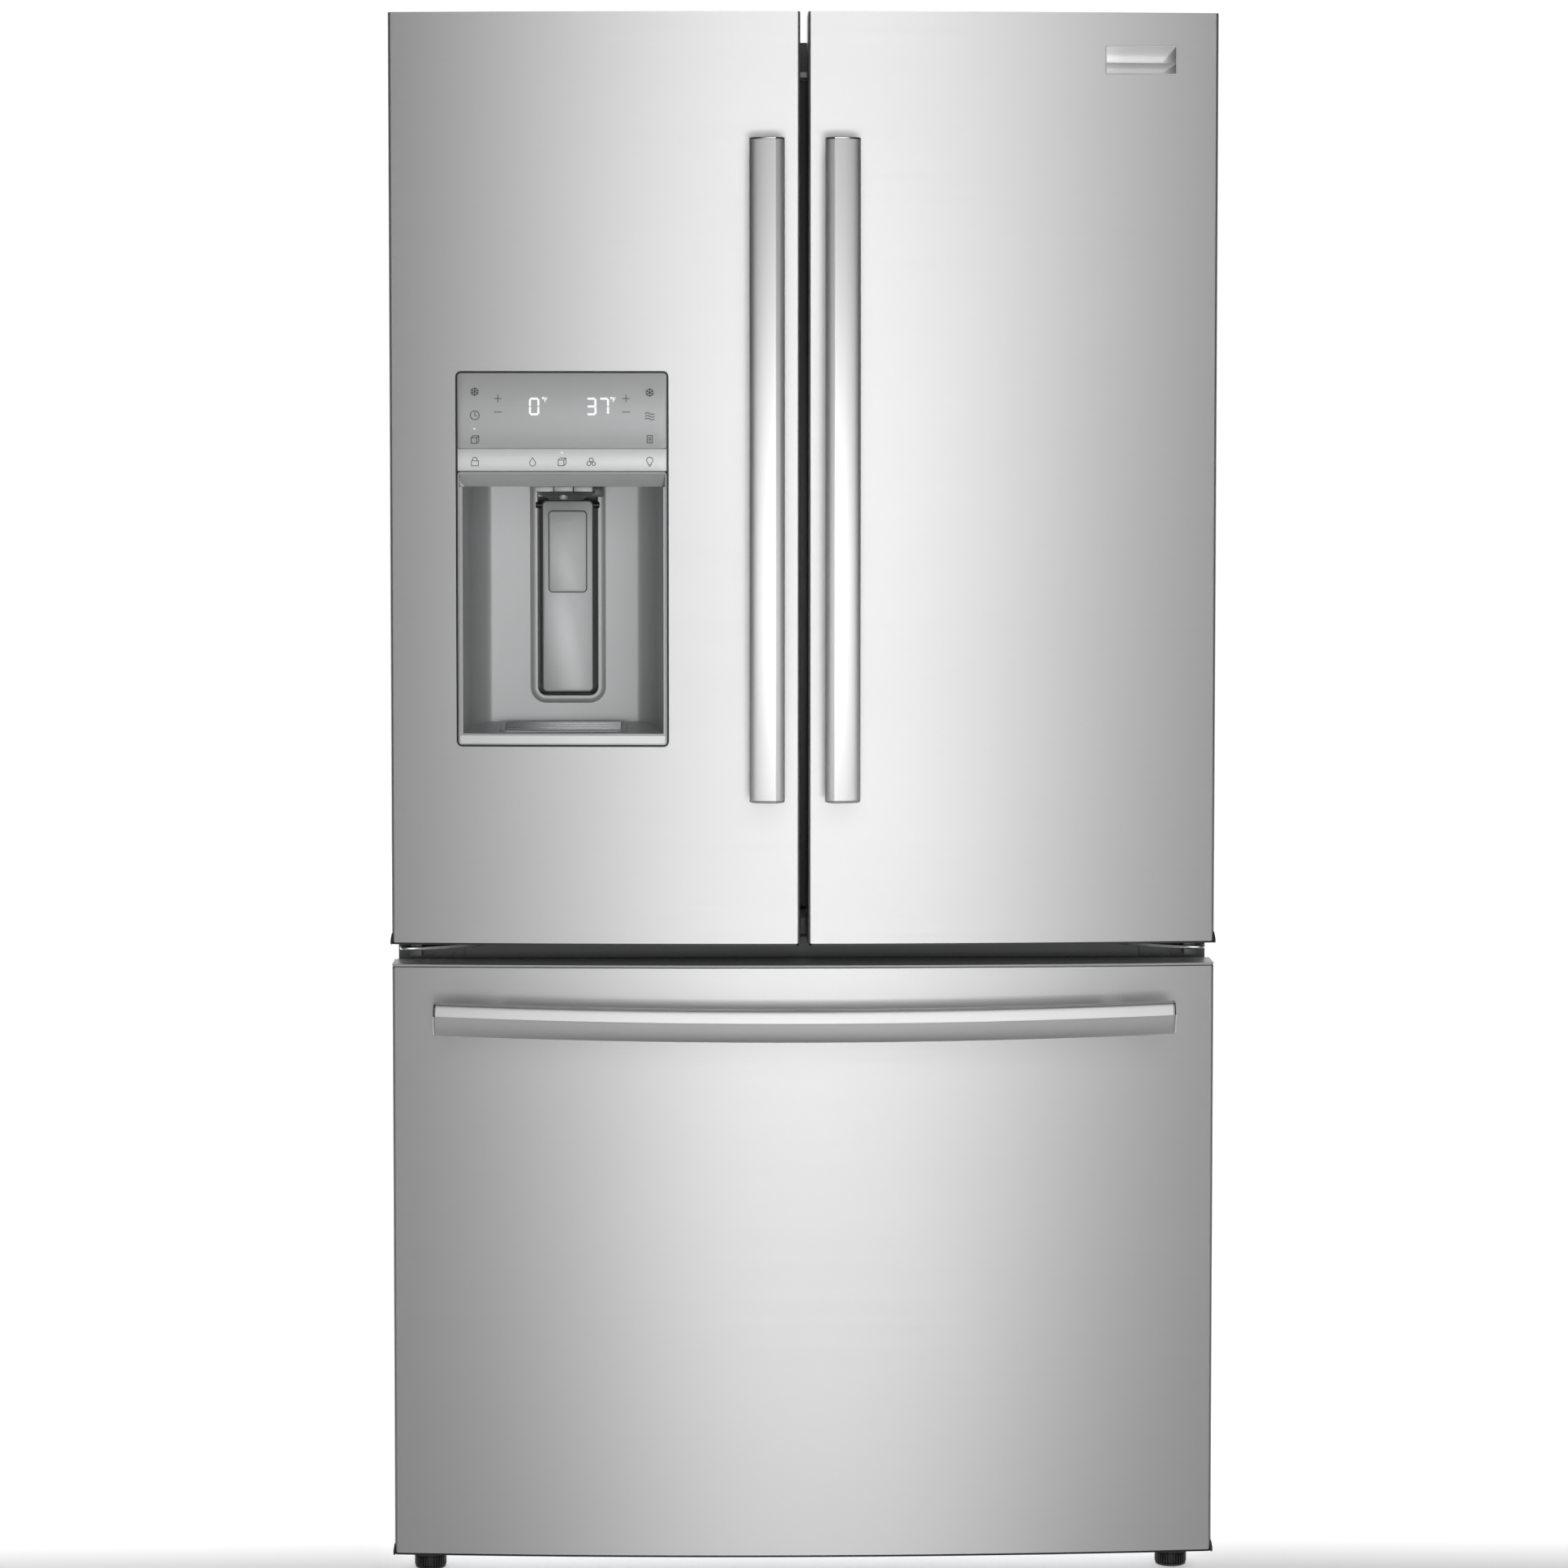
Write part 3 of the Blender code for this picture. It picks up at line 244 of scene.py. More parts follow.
def ink(name, colour, roughness=0.55, glow=0.0):
    mark = Finish(name, colour, roughness)
    speck = mark.noise((900.0, 900.0, 900.0), detail=1.0)
    mark.colour(mark.blend(speck, shade(colour, 0.93), shade(colour, 1.04)))
    if glow:
        mark.shader.inputs["Emission Color"].default_value = (*colour, 1.0)
        mark.shader.inputs["Emission Strength"].default_value = glow
    return mark.material


finishes = {
    "stainless": brushedMetal("stainlessSheet", (0.60, 0.60, 0.605), 0.40, (1.6, 1.6, 900.0),
                              anisotropic=0.7, turn=0.25),
    "handle": brushedMetal("satinHandle", (0.90, 0.90, 0.90), 0.40, (700.0, 700.0, 3.0), contrast=0.02,
                           anisotropic=0.7, relief=0.03),
    "handleLevel": brushedMetal("satinHandleLevel", (0.93, 0.93, 0.93), 0.38, (3.0, 700.0, 700.0),
                                contrast=0.02, anisotropic=0.5, turn=0.25, relief=0.03),
    "bright": brushedMetal("brightTrim", (0.80, 0.80, 0.80), 0.16, (40.0, 40.0, 40.0), contrast=0.01,
                           relief=0.01),
    "recess": enamel("recessPaint", (0.55, 0.555, 0.56), 0.46, metallic=0.35, peel=0.0012, relief=0.03),
    "cabinet": enamel("cabinetEnamel", (0.105, 0.108, 0.112), 0.50),
    "rearSteel": zincPlate("rearSteel", (0.45, 0.46, 0.47), 0.42),
    "zinc": zincPlate("zincPlate", (0.60, 0.61, 0.62), 0.36),
    "liner": mouldedPlastic("linerPlastic", (0.80, 0.81, 0.815), 0.30, relief=0.03, variation=0.015),
    "greyPlastic": mouldedPlastic("greyPlastic", (0.20, 0.205, 0.21), 0.48),
    "panelGrey": mouldedPlastic("panelGrey", (0.57, 0.575, 0.58), 0.46, relief=0.03, variation=0.012,
                                Metallic=0.4),
    "stripGrey": mouldedPlastic("stripGrey", (0.86, 0.865, 0.87), 0.48, relief=0.03, variation=0.01,
                                Metallic=0.55),
    "black": mouldedPlastic("blackPlastic", (0.013, 0.013, 0.014), 0.36, relief=0.06),
    "seal": sealRubber("sealRubber", (0.045, 0.046, 0.048)),
    "clear": clearMoulding("clearPlastic", (0.86, 0.89, 0.90), 0.22),
    "glass": clearMoulding("shelfGlass", (0.78, 0.88, 0.86), 0.12, 0.06),
    "can": enamel("compressorEnamel", (0.012, 0.012, 0.014), 0.34),
    "copper": brushedMetal("copperTube", (0.72, 0.36, 0.22), 0.28, (60.0, 60.0, 60.0)),
    "foam": mouldedPlastic("insulatingFoam", (0.72, 0.64, 0.38), 0.85, grainSize=0.002, relief=0.5),
    "capGrey": mouldedPlastic("capGrey", (0.085, 0.088, 0.092), 0.42, relief=0.06),
    "hoodGrey": mouldedPlastic("hoodGrey", (0.84, 0.845, 0.85), 0.46, relief=0.03, variation=0.012,
                               Metallic=0.6),
    "lipGrey": mouldedPlastic("lipGrey", (0.70, 0.705, 0.71), 0.42, relief=0.03, variation=0.01,
                              Metallic=0.6),
    "nozzleGrey": mouldedPlastic("nozzleGrey", (0.58, 0.585, 0.59), 0.50, relief=0.03, variation=0.01,
                                 Metallic=0.5),
    "dishAndSlotShadeGrey": mouldedPlastic("dishAndSlotShadeGrey", (0.10, 0.102, 0.105), 0.32, relief=0.04),
    "paddleGrey": mouldedPlastic("paddleGrey", (0.54, 0.545, 0.55), 0.44, relief=0.03, variation=0.012,
                                 Metallic=0.45),
    "traySteel": brushedMetal("traySteel", (0.62, 0.63, 0.64), 0.24, (3.0, 600.0, 600.0), contrast=0.03),
    "badgeLight": brushedMetal("badgeLight", (0.66, 0.66, 0.665), 0.34, (4.0, 4.0, 900.0)),
    "badgeDark": brushedMetal("badgeDark", (0.50, 0.50, 0.505), 0.38, (4.0, 4.0, 900.0)),
    "hingeBright": brushedMetal("hingeBright", (0.78, 0.78, 0.785), 0.24, (50.0, 50.0, 50.0), contrast=0.02),
    "trimSatin": brushedMetal("shelfTrim", (0.74, 0.74, 0.745), 0.28, (3.0, 700.0, 700.0), contrast=0.02),
    "linerGrey": mouldedPlastic("linerTrim", (0.62, 0.63, 0.64), 0.34, relief=0.03, variation=0.015),
    "clearFront": clearMoulding("clearFront", (0.84, 0.88, 0.90), 0.30, 0.16),
    "inkLight": ink("lightInk", (0.90, 0.91, 0.92), glow=0.75),
    "inkDark": ink("darkInk", (0.05, 0.052, 0.055)),
    "lamp": ink("lampLens", (0.95, 0.96, 1.0), 0.4, glow=0.6),
}

slotFinish = {
    "stainless": "stainless", "satin_metal": "handle", "zinc_steel": "zinc", "cabinet_paint": "cabinet",
    "white_liner": "liner", "grey_plastic": "greyPlastic", "black_plastic": "black", "seal_rubber": "seal",
    "foam": "foam", "clear_plastic": "clear", "shelf_glass": "glass", "compressor_black": "can",
    "copper_tube": "copper"}

nodeSlot = {part["node"]: part["material_slot"] for part in frame["record"]["subparts"]}
bodyOf = {node: body for body, nodes in frame["record"]["behaviour"]["bodies"].items() for node in nodes}


def dressFrame():
    special = {"machine_cover": "rearSteel", "back_panel": "rearSteel", "drawer_handle": "handleLevel"}
    for name, piece in frame["nodes"].items():
        made = finishes[special.get(name, slotFinish[nodeSlot[name]])]
        piece.data.materials.clear()
        piece.data.materials.append(made)
    print("frame nodes dressed")


# Mesh tools

def settle(name, bm, finish, body, replaces=(), sharpAngle=32.0):
    # Turns a bmesh into a finished piece that rides on a body
    bmesh.ops.remove_doubles(bm, verts=bm.verts, dist=0.000002)
    bmesh.ops.recalc_face_normals(bm, faces=bm.faces)
    mesh = bpy.data.meshes.new(name)
    bm.to_mesh(mesh)
    bm.free()
    mesh.shade_smooth()
    mesh.set_sharp_from_angle(angle=math.radians(sharpAngle))
    mesh.materials.append(finishes[finish])
    piece = bpy.data.objects.new(name, mesh)
    scene.collection.objects.link(piece)
    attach(piece, body)
    if replaces:
        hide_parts(*replaces)
    return piece


def addBox(bm, lowCorner, highCorner, bevel=0.0, segments=2):
    size = [b - a for a, b in zip(lowCorner, highCorner)]
    middle = [(a + b) / 2 for a, b in zip(lowCorner, highCorner)]
    made = bmesh.ops.create_cube(bm, size=1.0,
                                 matrix=Matrix.Translation(middle) @ Matrix.Diagonal((*size, 1.0)))
    if bevel:
        edges = list({edge for vert in made["verts"] for edge in vert.link_edges})
        bmesh.ops.bevel(bm, geom=edges, offset=bevel, segments=segments, profile=0.5, affect="EDGES")


# Which of a flat point's two numbers and its depth becomes x, y and z
axisOrder = {"X": lambda u, v, w: (w, u, v), "Y": lambda u, v, w: (u, w, v), "Z": lambda u, v, w: (u, v, w)}


def addPrism(bm, outline, start, end, axis="Z"):
    # Gives a flat outline a depth along an axis
    order = axisOrder[axis]
    lower = [bm.verts.new(order(u, v, start)) for u, v in outline]
    upper = [bm.verts.new(order(u, v, end)) for u, v in outline]
    bm.faces.new(lower)
    bm.faces.new(upper)
    count = len(outline)
    for i in range(count):
        j = (i + 1) % count
        bm.faces.new((lower[i], lower[j], upper[j], upper[i]))
    return lower, upper


def roundedRectangle(u0, u1, v0, v1, radius, steps=6):
    outline = []
    for cu, cv, start in ((u1 - radius, v1 - radius, 0), (u0 + radius, v1 - radius, 90),
                          (u0 + radius, v0 + radius, 180), (u1 - radius, v0 + radius, 270)):
        for step in range(steps + 1):
            angle = math.radians(start + 90 * step / steps)
            outline.append((cu + radius * math.cos(angle), cv + radius * math.sin(angle)))
    return outline


def cutShape(bm, cutter):
    # Takes the cutter's shape out of a bmesh and returns the result as a new bmesh
    pieces = []
    for label, source in (("body", bm), ("tool", cutter)):
        bmesh.ops.recalc_face_normals(source, faces=source.faces)
        mesh = bpy.data.meshes.new(label)
        source.to_mesh(mesh)
        source.free()
        piece = bpy.data.objects.new(label, mesh)
        scene.collection.objects.link(piece)
        pieces.append(piece)
    boolean = pieces[0].modifiers.new("cut", "BOOLEAN")
    boolean.solver = "MANIFOLD"  # the exact solver loses thin hollow shells
    boolean.object = pieces[1]
    result = bpy.data.meshes.new_from_object(pieces[0].evaluated_get(bpy.context.evaluated_depsgraph_get()))
    made = bmesh.new()
    made.from_mesh(result)
    for piece in pieces:
        mesh = piece.data
        bpy.data.objects.remove(piece, do_unlink=True)
        bpy.data.meshes.remove(mesh)
    bpy.data.meshes.remove(result)
    return made


def smoothed(points, steps=4, closed=False):
    # A smooth curve through points, worked out span by span
    count = len(points)
    spans = count if closed else count - 1
    places = [Vector(point) for point in points]
    curve = []
    for i in range(spans):
        if closed:
            a, b, c, d = (places[(i + k) % count] for k in (-1, 0, 1, 2))
        else:
            a, b, c, d = (places[min(max(i + k, 0), count - 1)] for k in (-1, 0, 1, 2))
        for step in range(steps):
            t = step / steps
            curve.append(0.5 * (2 * b + (c - a) * t + (2 * a - 5 * b + 4 * c - d) * t * t
                                + (3 * b - a - 3 * c + d) * t ** 3))
    if not closed:
        curve.append(places[-1])
    return curve


def joinRings(bm, rings, around=True, capFirst=True, capLast=True):
    # Skins a row of rings that hold the same number of points
    made = [[bm.verts.new(place) for place in ring] for ring in rings]
    count = len(made[0])
    for a, b in zip(made, made[1:]):
        for i in range(count if around else count - 1):
            j = (i + 1) % count
            bm.faces.new((a[i], a[j], b[j], b[i]))
    if capFirst:
        bm.faces.new(made[0])
    if capLast:
        bm.faces.new(made[-1])
    return made


def addTurned(bm, profile, centre, axis="Z", steps=32):
    # Turns a profile of radius and height about an axis
    order = axisOrder[axis]
    rings = []
    for radius, along in profile:
        angles = [math.tau * i / steps for i in range(steps)]
        rings.append([Vector(centre) + Vector(order(radius * math.cos(a), radius * math.sin(a), along))
                      for a in angles])
    joinRings(bm, rings)
    bmesh.ops.remove_doubles(bm, verts=bm.verts, dist=0.0000015)


def addTube(bm, path, radius, sides=10):
    # A round tube along a path, with flat ends
    places = [Vector(point) for point in path]
    normal = None
    rings = []
    for i, place in enumerate(places):
        ahead = (places[min(i + 1, len(places) - 1)] - places[max(i - 1, 0)]).normalized()
        if normal is None:
            normal = ahead.orthogonal().normalized()
        normal = (normal - ahead * normal.dot(ahead)).normalized()
        other = ahead.cross(normal)
        rings.append([place + normal * radius * math.cos(math.tau * k / sides)
                      + other * radius * math.sin(math.tau * k / sides) for k in range(sides)])
    joinRings(bm, rings)


def addRing(bm, x0, x1, z0, z1, radius, profile, steps=6):
    # A frame round a rectangle: the profile is how far in from the edge, and how far back
    rings = []
    for inset, depth in profile + profile[:1]:
        outline = roundedRectangle(x0 + inset, x1 - inset, z0 + inset, z1 - inset,
                                   max(radius - inset, 0.0002), steps)
        rings.append([(u, depth, v) for u, v in outline])
    joinRings(bm, rings, capFirst=False, capLast=False)
    bmesh.ops.remove_doubles(bm, verts=bm.verts, dist=0.0000015)


def addPad(bm, x0, x1, z0, z1, radius, front, back, edge=0.0004, steps=5):
    # A flat plate with rounded corners and a softened front edge
    rings = []
    for inset, depth in ((0.0, back), (0.0, front + edge), (edge * 0.3, front + edge * 0.3), (edge, front)):
        outline = roundedRectangle(x0 + inset, x1 - inset, z0 + inset, z1 - inset,
                                   max(radius - inset, 0.0002), steps)
        rings.append([(u, depth, v) for u, v in outline])
    joinRings(bm, rings)


def addStroke(bm, points, width, closed=False, depth=0.0003):
    # A drawn line of flat links in the X and Z plane
    pairs = list(zip(points, points[1:])) + ([(points[-1], points[0])] if closed else [])
    for start, end in pairs:
        a, b = Vector((start[0], 0.0, start[1])), Vector((end[0], 0.0, end[1]))
        along = (b - a).normalized() * width / 2
        side = Vector((along.z, 0.0, -along.x))
        corners = [a - along * 0.6 - side, b + along * 0.6 - side, b + along * 0.6 + side,
                   a - along * 0.6 + side]
        lower = [bm.verts.new(corner) for corner in corners]
        upper = [bm.verts.new(corner + Vector((0.0, -depth, 0.0))) for corner in corners]
        bm.faces.new(lower)
        bm.faces.new(upper)
        for i in range(4):
            j = (i + 1) % 4
            bm.faces.new((lower[i], lower[j], upper[j], upper[i]))


def circlePoints(x, z, radius, steps=20, start=0.0, sweep=360.0):
    last = steps if sweep >= 360.0 else steps + 1
    return [(x + radius * math.cos(math.radians(start + sweep * i / steps)),
             z + radius * math.sin(math.radians(start + sweep * i / steps))) for i in range(last)]


def bendToFront(bm, lift=0.0, pitch=0.02):
    # Lays flat work on the bowed front: y becomes the depth from that surface
    xs = [vert.co.x for vert in bm.verts]
    x = min(xs) + pitch
    while x < max(xs) - pitch / 2:
        bmesh.ops.bisect_plane(bm, geom=bm.verts[:] + bm.edges[:] + bm.faces[:], plane_co=(x, 0, 0),
                               plane_no=(1, 0, 0), dist=0.00001)
        x += pitch
    for vert in bm.verts:
        vert.co.y += bowY(vert.co.x) - lift


# Geometry Nodes for what repeats

def newTree(name, inputs):
    tree = bpy.data.node_groups.new(name, "GeometryNodeTree")
    tree.interface.new_socket("Geometry", in_out="INPUT", socket_type="NodeSocketGeometry")
    for label, kind in inputs:
        tree.interface.new_socket(label, in_out="INPUT", socket_type="NodeSocket" + kind)
    tree.interface.new_socket("Geometry", in_out="OUTPUT", socket_type="NodeSocketGeometry")
    source = tree.nodes.new("NodeGroupInput")
    sink = tree.nodes.new("NodeGroupOutput")
    return tree, source, sink


def finishTree(tree, source, sink, points, turn=None):
    # Puts the named shape on each point, then makes real, coloured mesh of it
    shape = tree.nodes.new("GeometryNodeObjectInfo")
    tree.links.new(source.outputs["Shape"], shape.inputs["Object"])
    place = tree.nodes.new("GeometryNodeInstanceOnPoints")
    real = tree.nodes.new("GeometryNodeRealizeInstances")
    colour = tree.nodes.new("GeometryNodeSetMaterial")
    tree.links.new(points, place.inputs["Points"])
    tree.links.new(shape.outputs["Geometry"], place.inputs["Instance"])
    if turn is not None:
        tree.links.new(turn, place.inputs["Rotation"])
    tree.links.new(place.outputs["Instances"], real.inputs["Geometry"])
    tree.links.new(real.outputs["Geometry"], colour.inputs["Geometry"])
    tree.links.new(source.outputs["Finish"], colour.inputs["Material"])
    tree.links.new(colour.outputs["Geometry"], sink.inputs["Geometry"])


def rowTree():
    # A straight row: how many, where the first is, and the step between them
    tree, source, sink = newTree("rowOfPieces", (("Count", "Int"), ("First", "Vector"), ("Step", "Vector"),
                                                 ("Shape", "Object"), ("Finish", "Material")))
    line = tree.nodes.new("GeometryNodeMeshLine")
    line.mode = "OFFSET"
    for label, slot in (("Count", "Count"), ("First", "Start Location"), ("Step", "Offset")):
        tree.links.new(source.outputs[label], line.inputs[slot])
    finishTree(tree, source, sink, line.outputs["Mesh"])
    return tree


def ringTree():
    # A ring about Z: how many, its radius and its centre; each piece is turned to face outwards
    tree, source, sink = newTree("ringOfPieces", (("Count", "Int"), ("Radius", "Float"),
                                                  ("Centre", "Vector"),
                                                  ("Shape", "Object"), ("Finish", "Material")))
    circle = tree.nodes.new("GeometryNodeMeshCircle")
    tree.links.new(source.outputs["Count"], circle.inputs["Vertices"])
    tree.links.new(source.outputs["Radius"], circle.inputs["Radius"])
    move = tree.nodes.new("GeometryNodeTransform")
    tree.links.new(circle.outputs["Mesh"], move.inputs["Geometry"])
    tree.links.new(source.outputs["Centre"], move.inputs["Translation"])
    index = tree.nodes.new("GeometryNodeInputIndex")
    share = tree.nodes.new("ShaderNodeMath")
    share.operation = "DIVIDE"
    tree.links.new(index.outputs[0], share.inputs[0])
    tree.links.new(source.outputs["Count"], share.inputs[1])
    angle = tree.nodes.new("ShaderNodeMath")
    angle.operation = "MULTIPLY"
    angle.inputs[1].default_value = math.tau
    tree.links.new(share.outputs[0], angle.inputs[0])
    turn = tree.nodes.new("ShaderNodeCombineXYZ")
    tree.links.new(angle.outputs[0], turn.inputs["Z"])
    finishTree(tree, source, sink, move.outputs["Geometry"], turn.outputs["Vector"])
    return tree


def spotTree():
    # One piece on every point of the object's own mesh
    tree, source, sink = newTree("piecesOnSpots", (("Shape", "Object"), ("Finish", "Material")))
    finishTree(tree, source, sink, source.outputs["Geometry"])
    return tree


trees = {"row": rowTree(), "ring": ringTree(), "spots": spotTree()}


def grow(name, kind, shape, finish, body, slot=None, replaces=(), spots=(), sharpAngle=32.0, place=None,
         **inputs):
    # Runs one tree around a small shape and turns the result into a plain piece, moved by place if given
    bmesh.ops.recalc_face_normals(shape, faces=shape.faces)
    shapeMesh = bpy.data.meshes.new("pattern")
    shape.to_mesh(shapeMesh)
    shape.free()
    pattern = bpy.data.objects.new("pattern", shapeMesh)
    scene.collection.objects.link(pattern)
    seedMesh = bpy.data.meshes.new("seed")
    seedMesh.from_pydata([tuple(spot) for spot in spots], [], [])
    seed = bpy.data.objects.new("seed", seedMesh)
    scene.collection.objects.link(seed)
    modifier = seed.modifiers.new("grow", "NODES")
    modifier.node_group = trees[kind]
    values = dict(inputs, Shape=pattern, Finish=finishes[finish])
    for item in trees[kind].interface.items_tree:
        if item.in_out == "INPUT" and item.name in values:
            modifier[item.identifier] = values[item.name]
    grown = bpy.data.meshes.new_from_object(seed.evaluated_get(bpy.context.evaluated_depsgraph_get()))
    bm = bmesh.new()
    bm.from_mesh(grown)
    for piece in (seed, pattern):
        mesh = piece.data
        bpy.data.objects.remove(piece, do_unlink=True)
        bpy.data.meshes.remove(mesh)
    bpy.data.meshes.remove(grown)
    if place is not None:
        bm.transform(place)
    return settle(name, bm, finish, body, replaces, sharpAngle)


# Doors and drawer front

skinShape = {"meet": 0.0012, "bow": 0.020, "wall": 0.0012, "corner": 0.003, "edge": 0.0010, "columns": 40,
             "capHeight": 0.0022, "grooveHeight": 0.0011}
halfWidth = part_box("drawer_panel")[1][0]
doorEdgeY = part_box("drawer_panel")[0][1] + skinShape["bow"]
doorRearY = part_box("drawer_panel")[1][1]


def bowY(x):
    return doorEdgeY - skinShape["bow"] * (1.0 - (x / halfWidth) ** 2)


def bowedOutline(x0, x1, back, inset=0.0, radius=0.0, columns=40):
    # Plan of a door: its front follows the bow, with rounded front corners
    first, last = x0 + radius, x1 - radius
    xs = [first + (last - first) * i / columns for i in range(columns + 1)]
    if radius:
        xs[1:1] = [first + 0.0006]
        xs[-1:-1] = [last - 0.0006]
    front = [(x, bowY(x) + inset) for x in xs]
    if radius:
        leftY, rightY = front[0][1] + radius, front[-1][1] + radius
        angles = [90 * i / 6 for i in range(6)]
        left = [(first - radius * math.cos(math.radians(a)), leftY - radius * math.sin(math.radians(a)))
                for a in angles]
        right = [(last + radius * math.cos(math.radians(a)), rightY - radius * math.sin(math.radians(a)))
                 for a in angles[::-1]]
        front = left + front + right
    return front + [(x1, back), (x0, back)]


def bowedSlab(x0, x1, z0, z1, back, inset=0.0, radius=skinShape["corner"], edge=skinShape["edge"]):
    # A solid slice of a door, with its top and bottom front edges rounded
    bm = bmesh.new()
    lower, upper = addPrism(bm, bowedOutline(x0, x1, back, inset, radius, skinShape["columns"]), z0, z1)
    if edge:
        rims = []
        for ring in (lower, upper):
            front = ring[:-2]
            rims += [bm.edges.get((a, b)) for a, b in zip(front, front[1:])]
        bmesh.ops.bevel(bm, geom=rims, offset=edge, segments=4, profile=0.5, affect="EDGES")
        for z in (z0 + edge + 0.0005, z1 - edge - 0.0005):
            bmesh.ops.bisect_plane(bm, geom=bm.verts[:] + bm.edges[:] + bm.faces[:], plane_co=(0, 0, z),
                                   plane_no=(0, 0, 1), dist=0.00001)
    return bm


def hollowSlab(x0, x1, z0, z1, back):
    wall = skinShape["wall"]
    # The space inside a door's folded sheet, open at the rear
    inner = bmesh.new()
    addPrism(inner, bowedOutline(x0 + wall, x1 - wall, back + 0.02, wall, 0.0018, skinShape["columns"]),
             z0 + wall, z1 - wall)
    return inner


notchShape = {"reach": 0.0375, "front": -0.343, "gap": 0.0008}


def makeSkins():
    wall = skinShape["wall"]
    cap = skinShape["capHeight"]
    for name, side in (("left_door_panel", -1), ("right_door_panel", 1), ("drawer_panel", 0)):
        a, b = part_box(name)
        low = a[2] + cap
        top = b[2] - (0 if side else cap + skinShape["grooveHeight"])
        left = a[0] - (skinShape["meet"] if side > 0 else 0.0)
        right = b[0] + (skinShape["meet"] if side < 0 else 0.0)
        bm = bowedSlab(left, right, low, top, b[1])
        inner = hollowSlab(left, right, low, top, b[1])
        if side:
            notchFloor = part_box("hinge_cover_left")[0][2] - notchShape["gap"]
            notchX = sorted((side * (halfWidth - notchShape["reach"]), side * (halfWidth + 0.05)))
            notchY = notchShape["front"]
            keep = bmesh.new()
            addBox(keep, (notchX[0] - wall, notchY - wall, notchFloor - wall), (notchX[1] + wall, 0.0, 2.0))
            inner = cutShape(inner, keep)
            bm = cutShape(bm, inner)
            notch = bmesh.new()
            addBox(notch, (notchX[0], notchY, notchFloor), (notchX[1], 0.0, 2.0))
            bm = cutShape(bm, notch)
        else:
            bm = cutShape(bm, inner)
        if side < 0:
            c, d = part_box("dispenser_housing")
            opening = bmesh.new()
            addPrism(opening, roundedRectangle(c[0], d[0], c[2], d[2], 0.0062), -0.5, -0.2, "Y")
            bm = cutShape(bm, opening)
        settle(name.replace("_panel", "_skin"), bm, "stainless", bodyOf[name], (name,))
    print("door and drawer skins made")


capShape = {"corner": 0.0016, "rise": 0.0125, "inset": 0.0004, "round": 0.0011}


def makeEndCaps():
    # Plastic caps that close the folded sheet, with a guard round each bottom outer corner
    cap = skinShape["capHeight"]
    for name, sides in (("left_door_panel", (-1,)), ("right_door_panel", (1,)), ("drawer_panel", (-1, 1))):
        a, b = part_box(name)
        bm = bowedSlab(a[0] + 0.0003, b[0] - 0.0003, a[2], a[2] + cap, b[1], capShape["inset"], 0.003,
                       0.0006)
        for side in sides:
            reach = capShape["corner"]
            outline = [(doorEdgeY - 0.0016, a[2]), (doorEdgeY - 0.0012, a[2] + 0.004),
                       (doorEdgeY + 0.0006, a[2] + capShape["rise"]), (doorRearY, a[2] + capShape["rise"]),
                       (doorRearY, a[2])]
            guard = bmesh.new()
            outer = addPrism(guard, outline, side * (halfWidth - 0.0006), side * (halfWidth + reach), "X")[1]
            rim = [guard.edges.get(pair) for pair in zip(outer, outer[1:] + outer[:1])]
            bmesh.ops.bevel(guard, geom=rim, offset=capShape["round"], segments=3, profile=0.5,
                            affect="EDGES")
            for vert in guard.verts:
                if vert.co.z > a[2] + 0.006 and abs(vert.co.x) > halfWidth + 0.0003:
                    vert.co.x -= side * reach * min(1.0, (vert.co.z - a[2] - 0.006) / 0.0066) * 0.85
            bmesh.ops.recalc_face_normals(guard, faces=guard.faces)
            copyInto(bm, guard)
        settle(name.replace("_panel", "_bottom_cap"), bm, "black", bodyOf[name])
    a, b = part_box("drawer_panel")
    groove = skinShape["grooveHeight"]
    # The top cap takes a lighter grey than the black bottom caps: painted highlight along the drawer's top
    # edge
    bm = bowedSlab(a[0], b[0], b[2] - cap, b[2], b[1], 0.0, 0.003, 0.0007)
    settle("drawer_top_cap", bm, "linerGrey", bodyOf["drawer_panel"])
    # A black strip recessed between the top cap and the skin: painted shade in the groove
    bm = bowedSlab(a[0] + 0.0012, b[0] - 0.0012, b[2] - cap - groove, b[2] - cap, b[1] - 0.001, 0.0014,
                   0.002, 0.0)
    settle("drawer_cap_joint", bm, "black", bodyOf["drawer_panel"])
    print("end caps made")


def copyInto(bm, other):
    # Adds another bmesh's shape to this one
    mesh = bpy.data.meshes.new("copy")
    other.to_mesh(mesh)
    other.free()
    bm.from_mesh(mesh)
    bpy.data.meshes.remove(mesh)


gasketShape = {"width": 0.016, "pleats": 3, "lip": 0.0022, "corner": 0.006}


def makeGaskets():
    # A bellows of soft rubber with a magnet lip, mitred round each door
    for name in ("left_door_gasket", "right_door_gasket", "drawer_gasket"):
        a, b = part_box(name)
        width = gasketShape["width"]
        front, back = a[1], b[1]
        step = (back - front - gasketShape["lip"]) / (2 * gasketShape["pleats"])
        outer = [(0.0005, front)]
        inner = [(width - 0.0005, front)]
        for k in range(2 * gasketShape["pleats"]):
            fold = 0.0036 if k % 2 == 0 else 0.0012
            outer.append((fold, front + step * (k + 0.8)))
            inner.append((width - fold, front + step * (k + 0.8)))
        outer += [(0.0, back - gasketShape["lip"]), (0.0004, back - 0.0003), (0.0012, back)]
        inner += [(width, back - gasketShape["lip"]), (width - 0.0004, back - 0.0003),
                  (width - 0.0012, back)]
        bm = bmesh.new()
        addRing(bm, a[0], b[0], a[2], b[2], gasketShape["corner"], outer + inner[::-1], 4)
        settle(name.replace("_gasket", "_bellows"), bm, "seal", bodyOf[name], (name,), 50.0)
    print("gaskets made")


# Handles

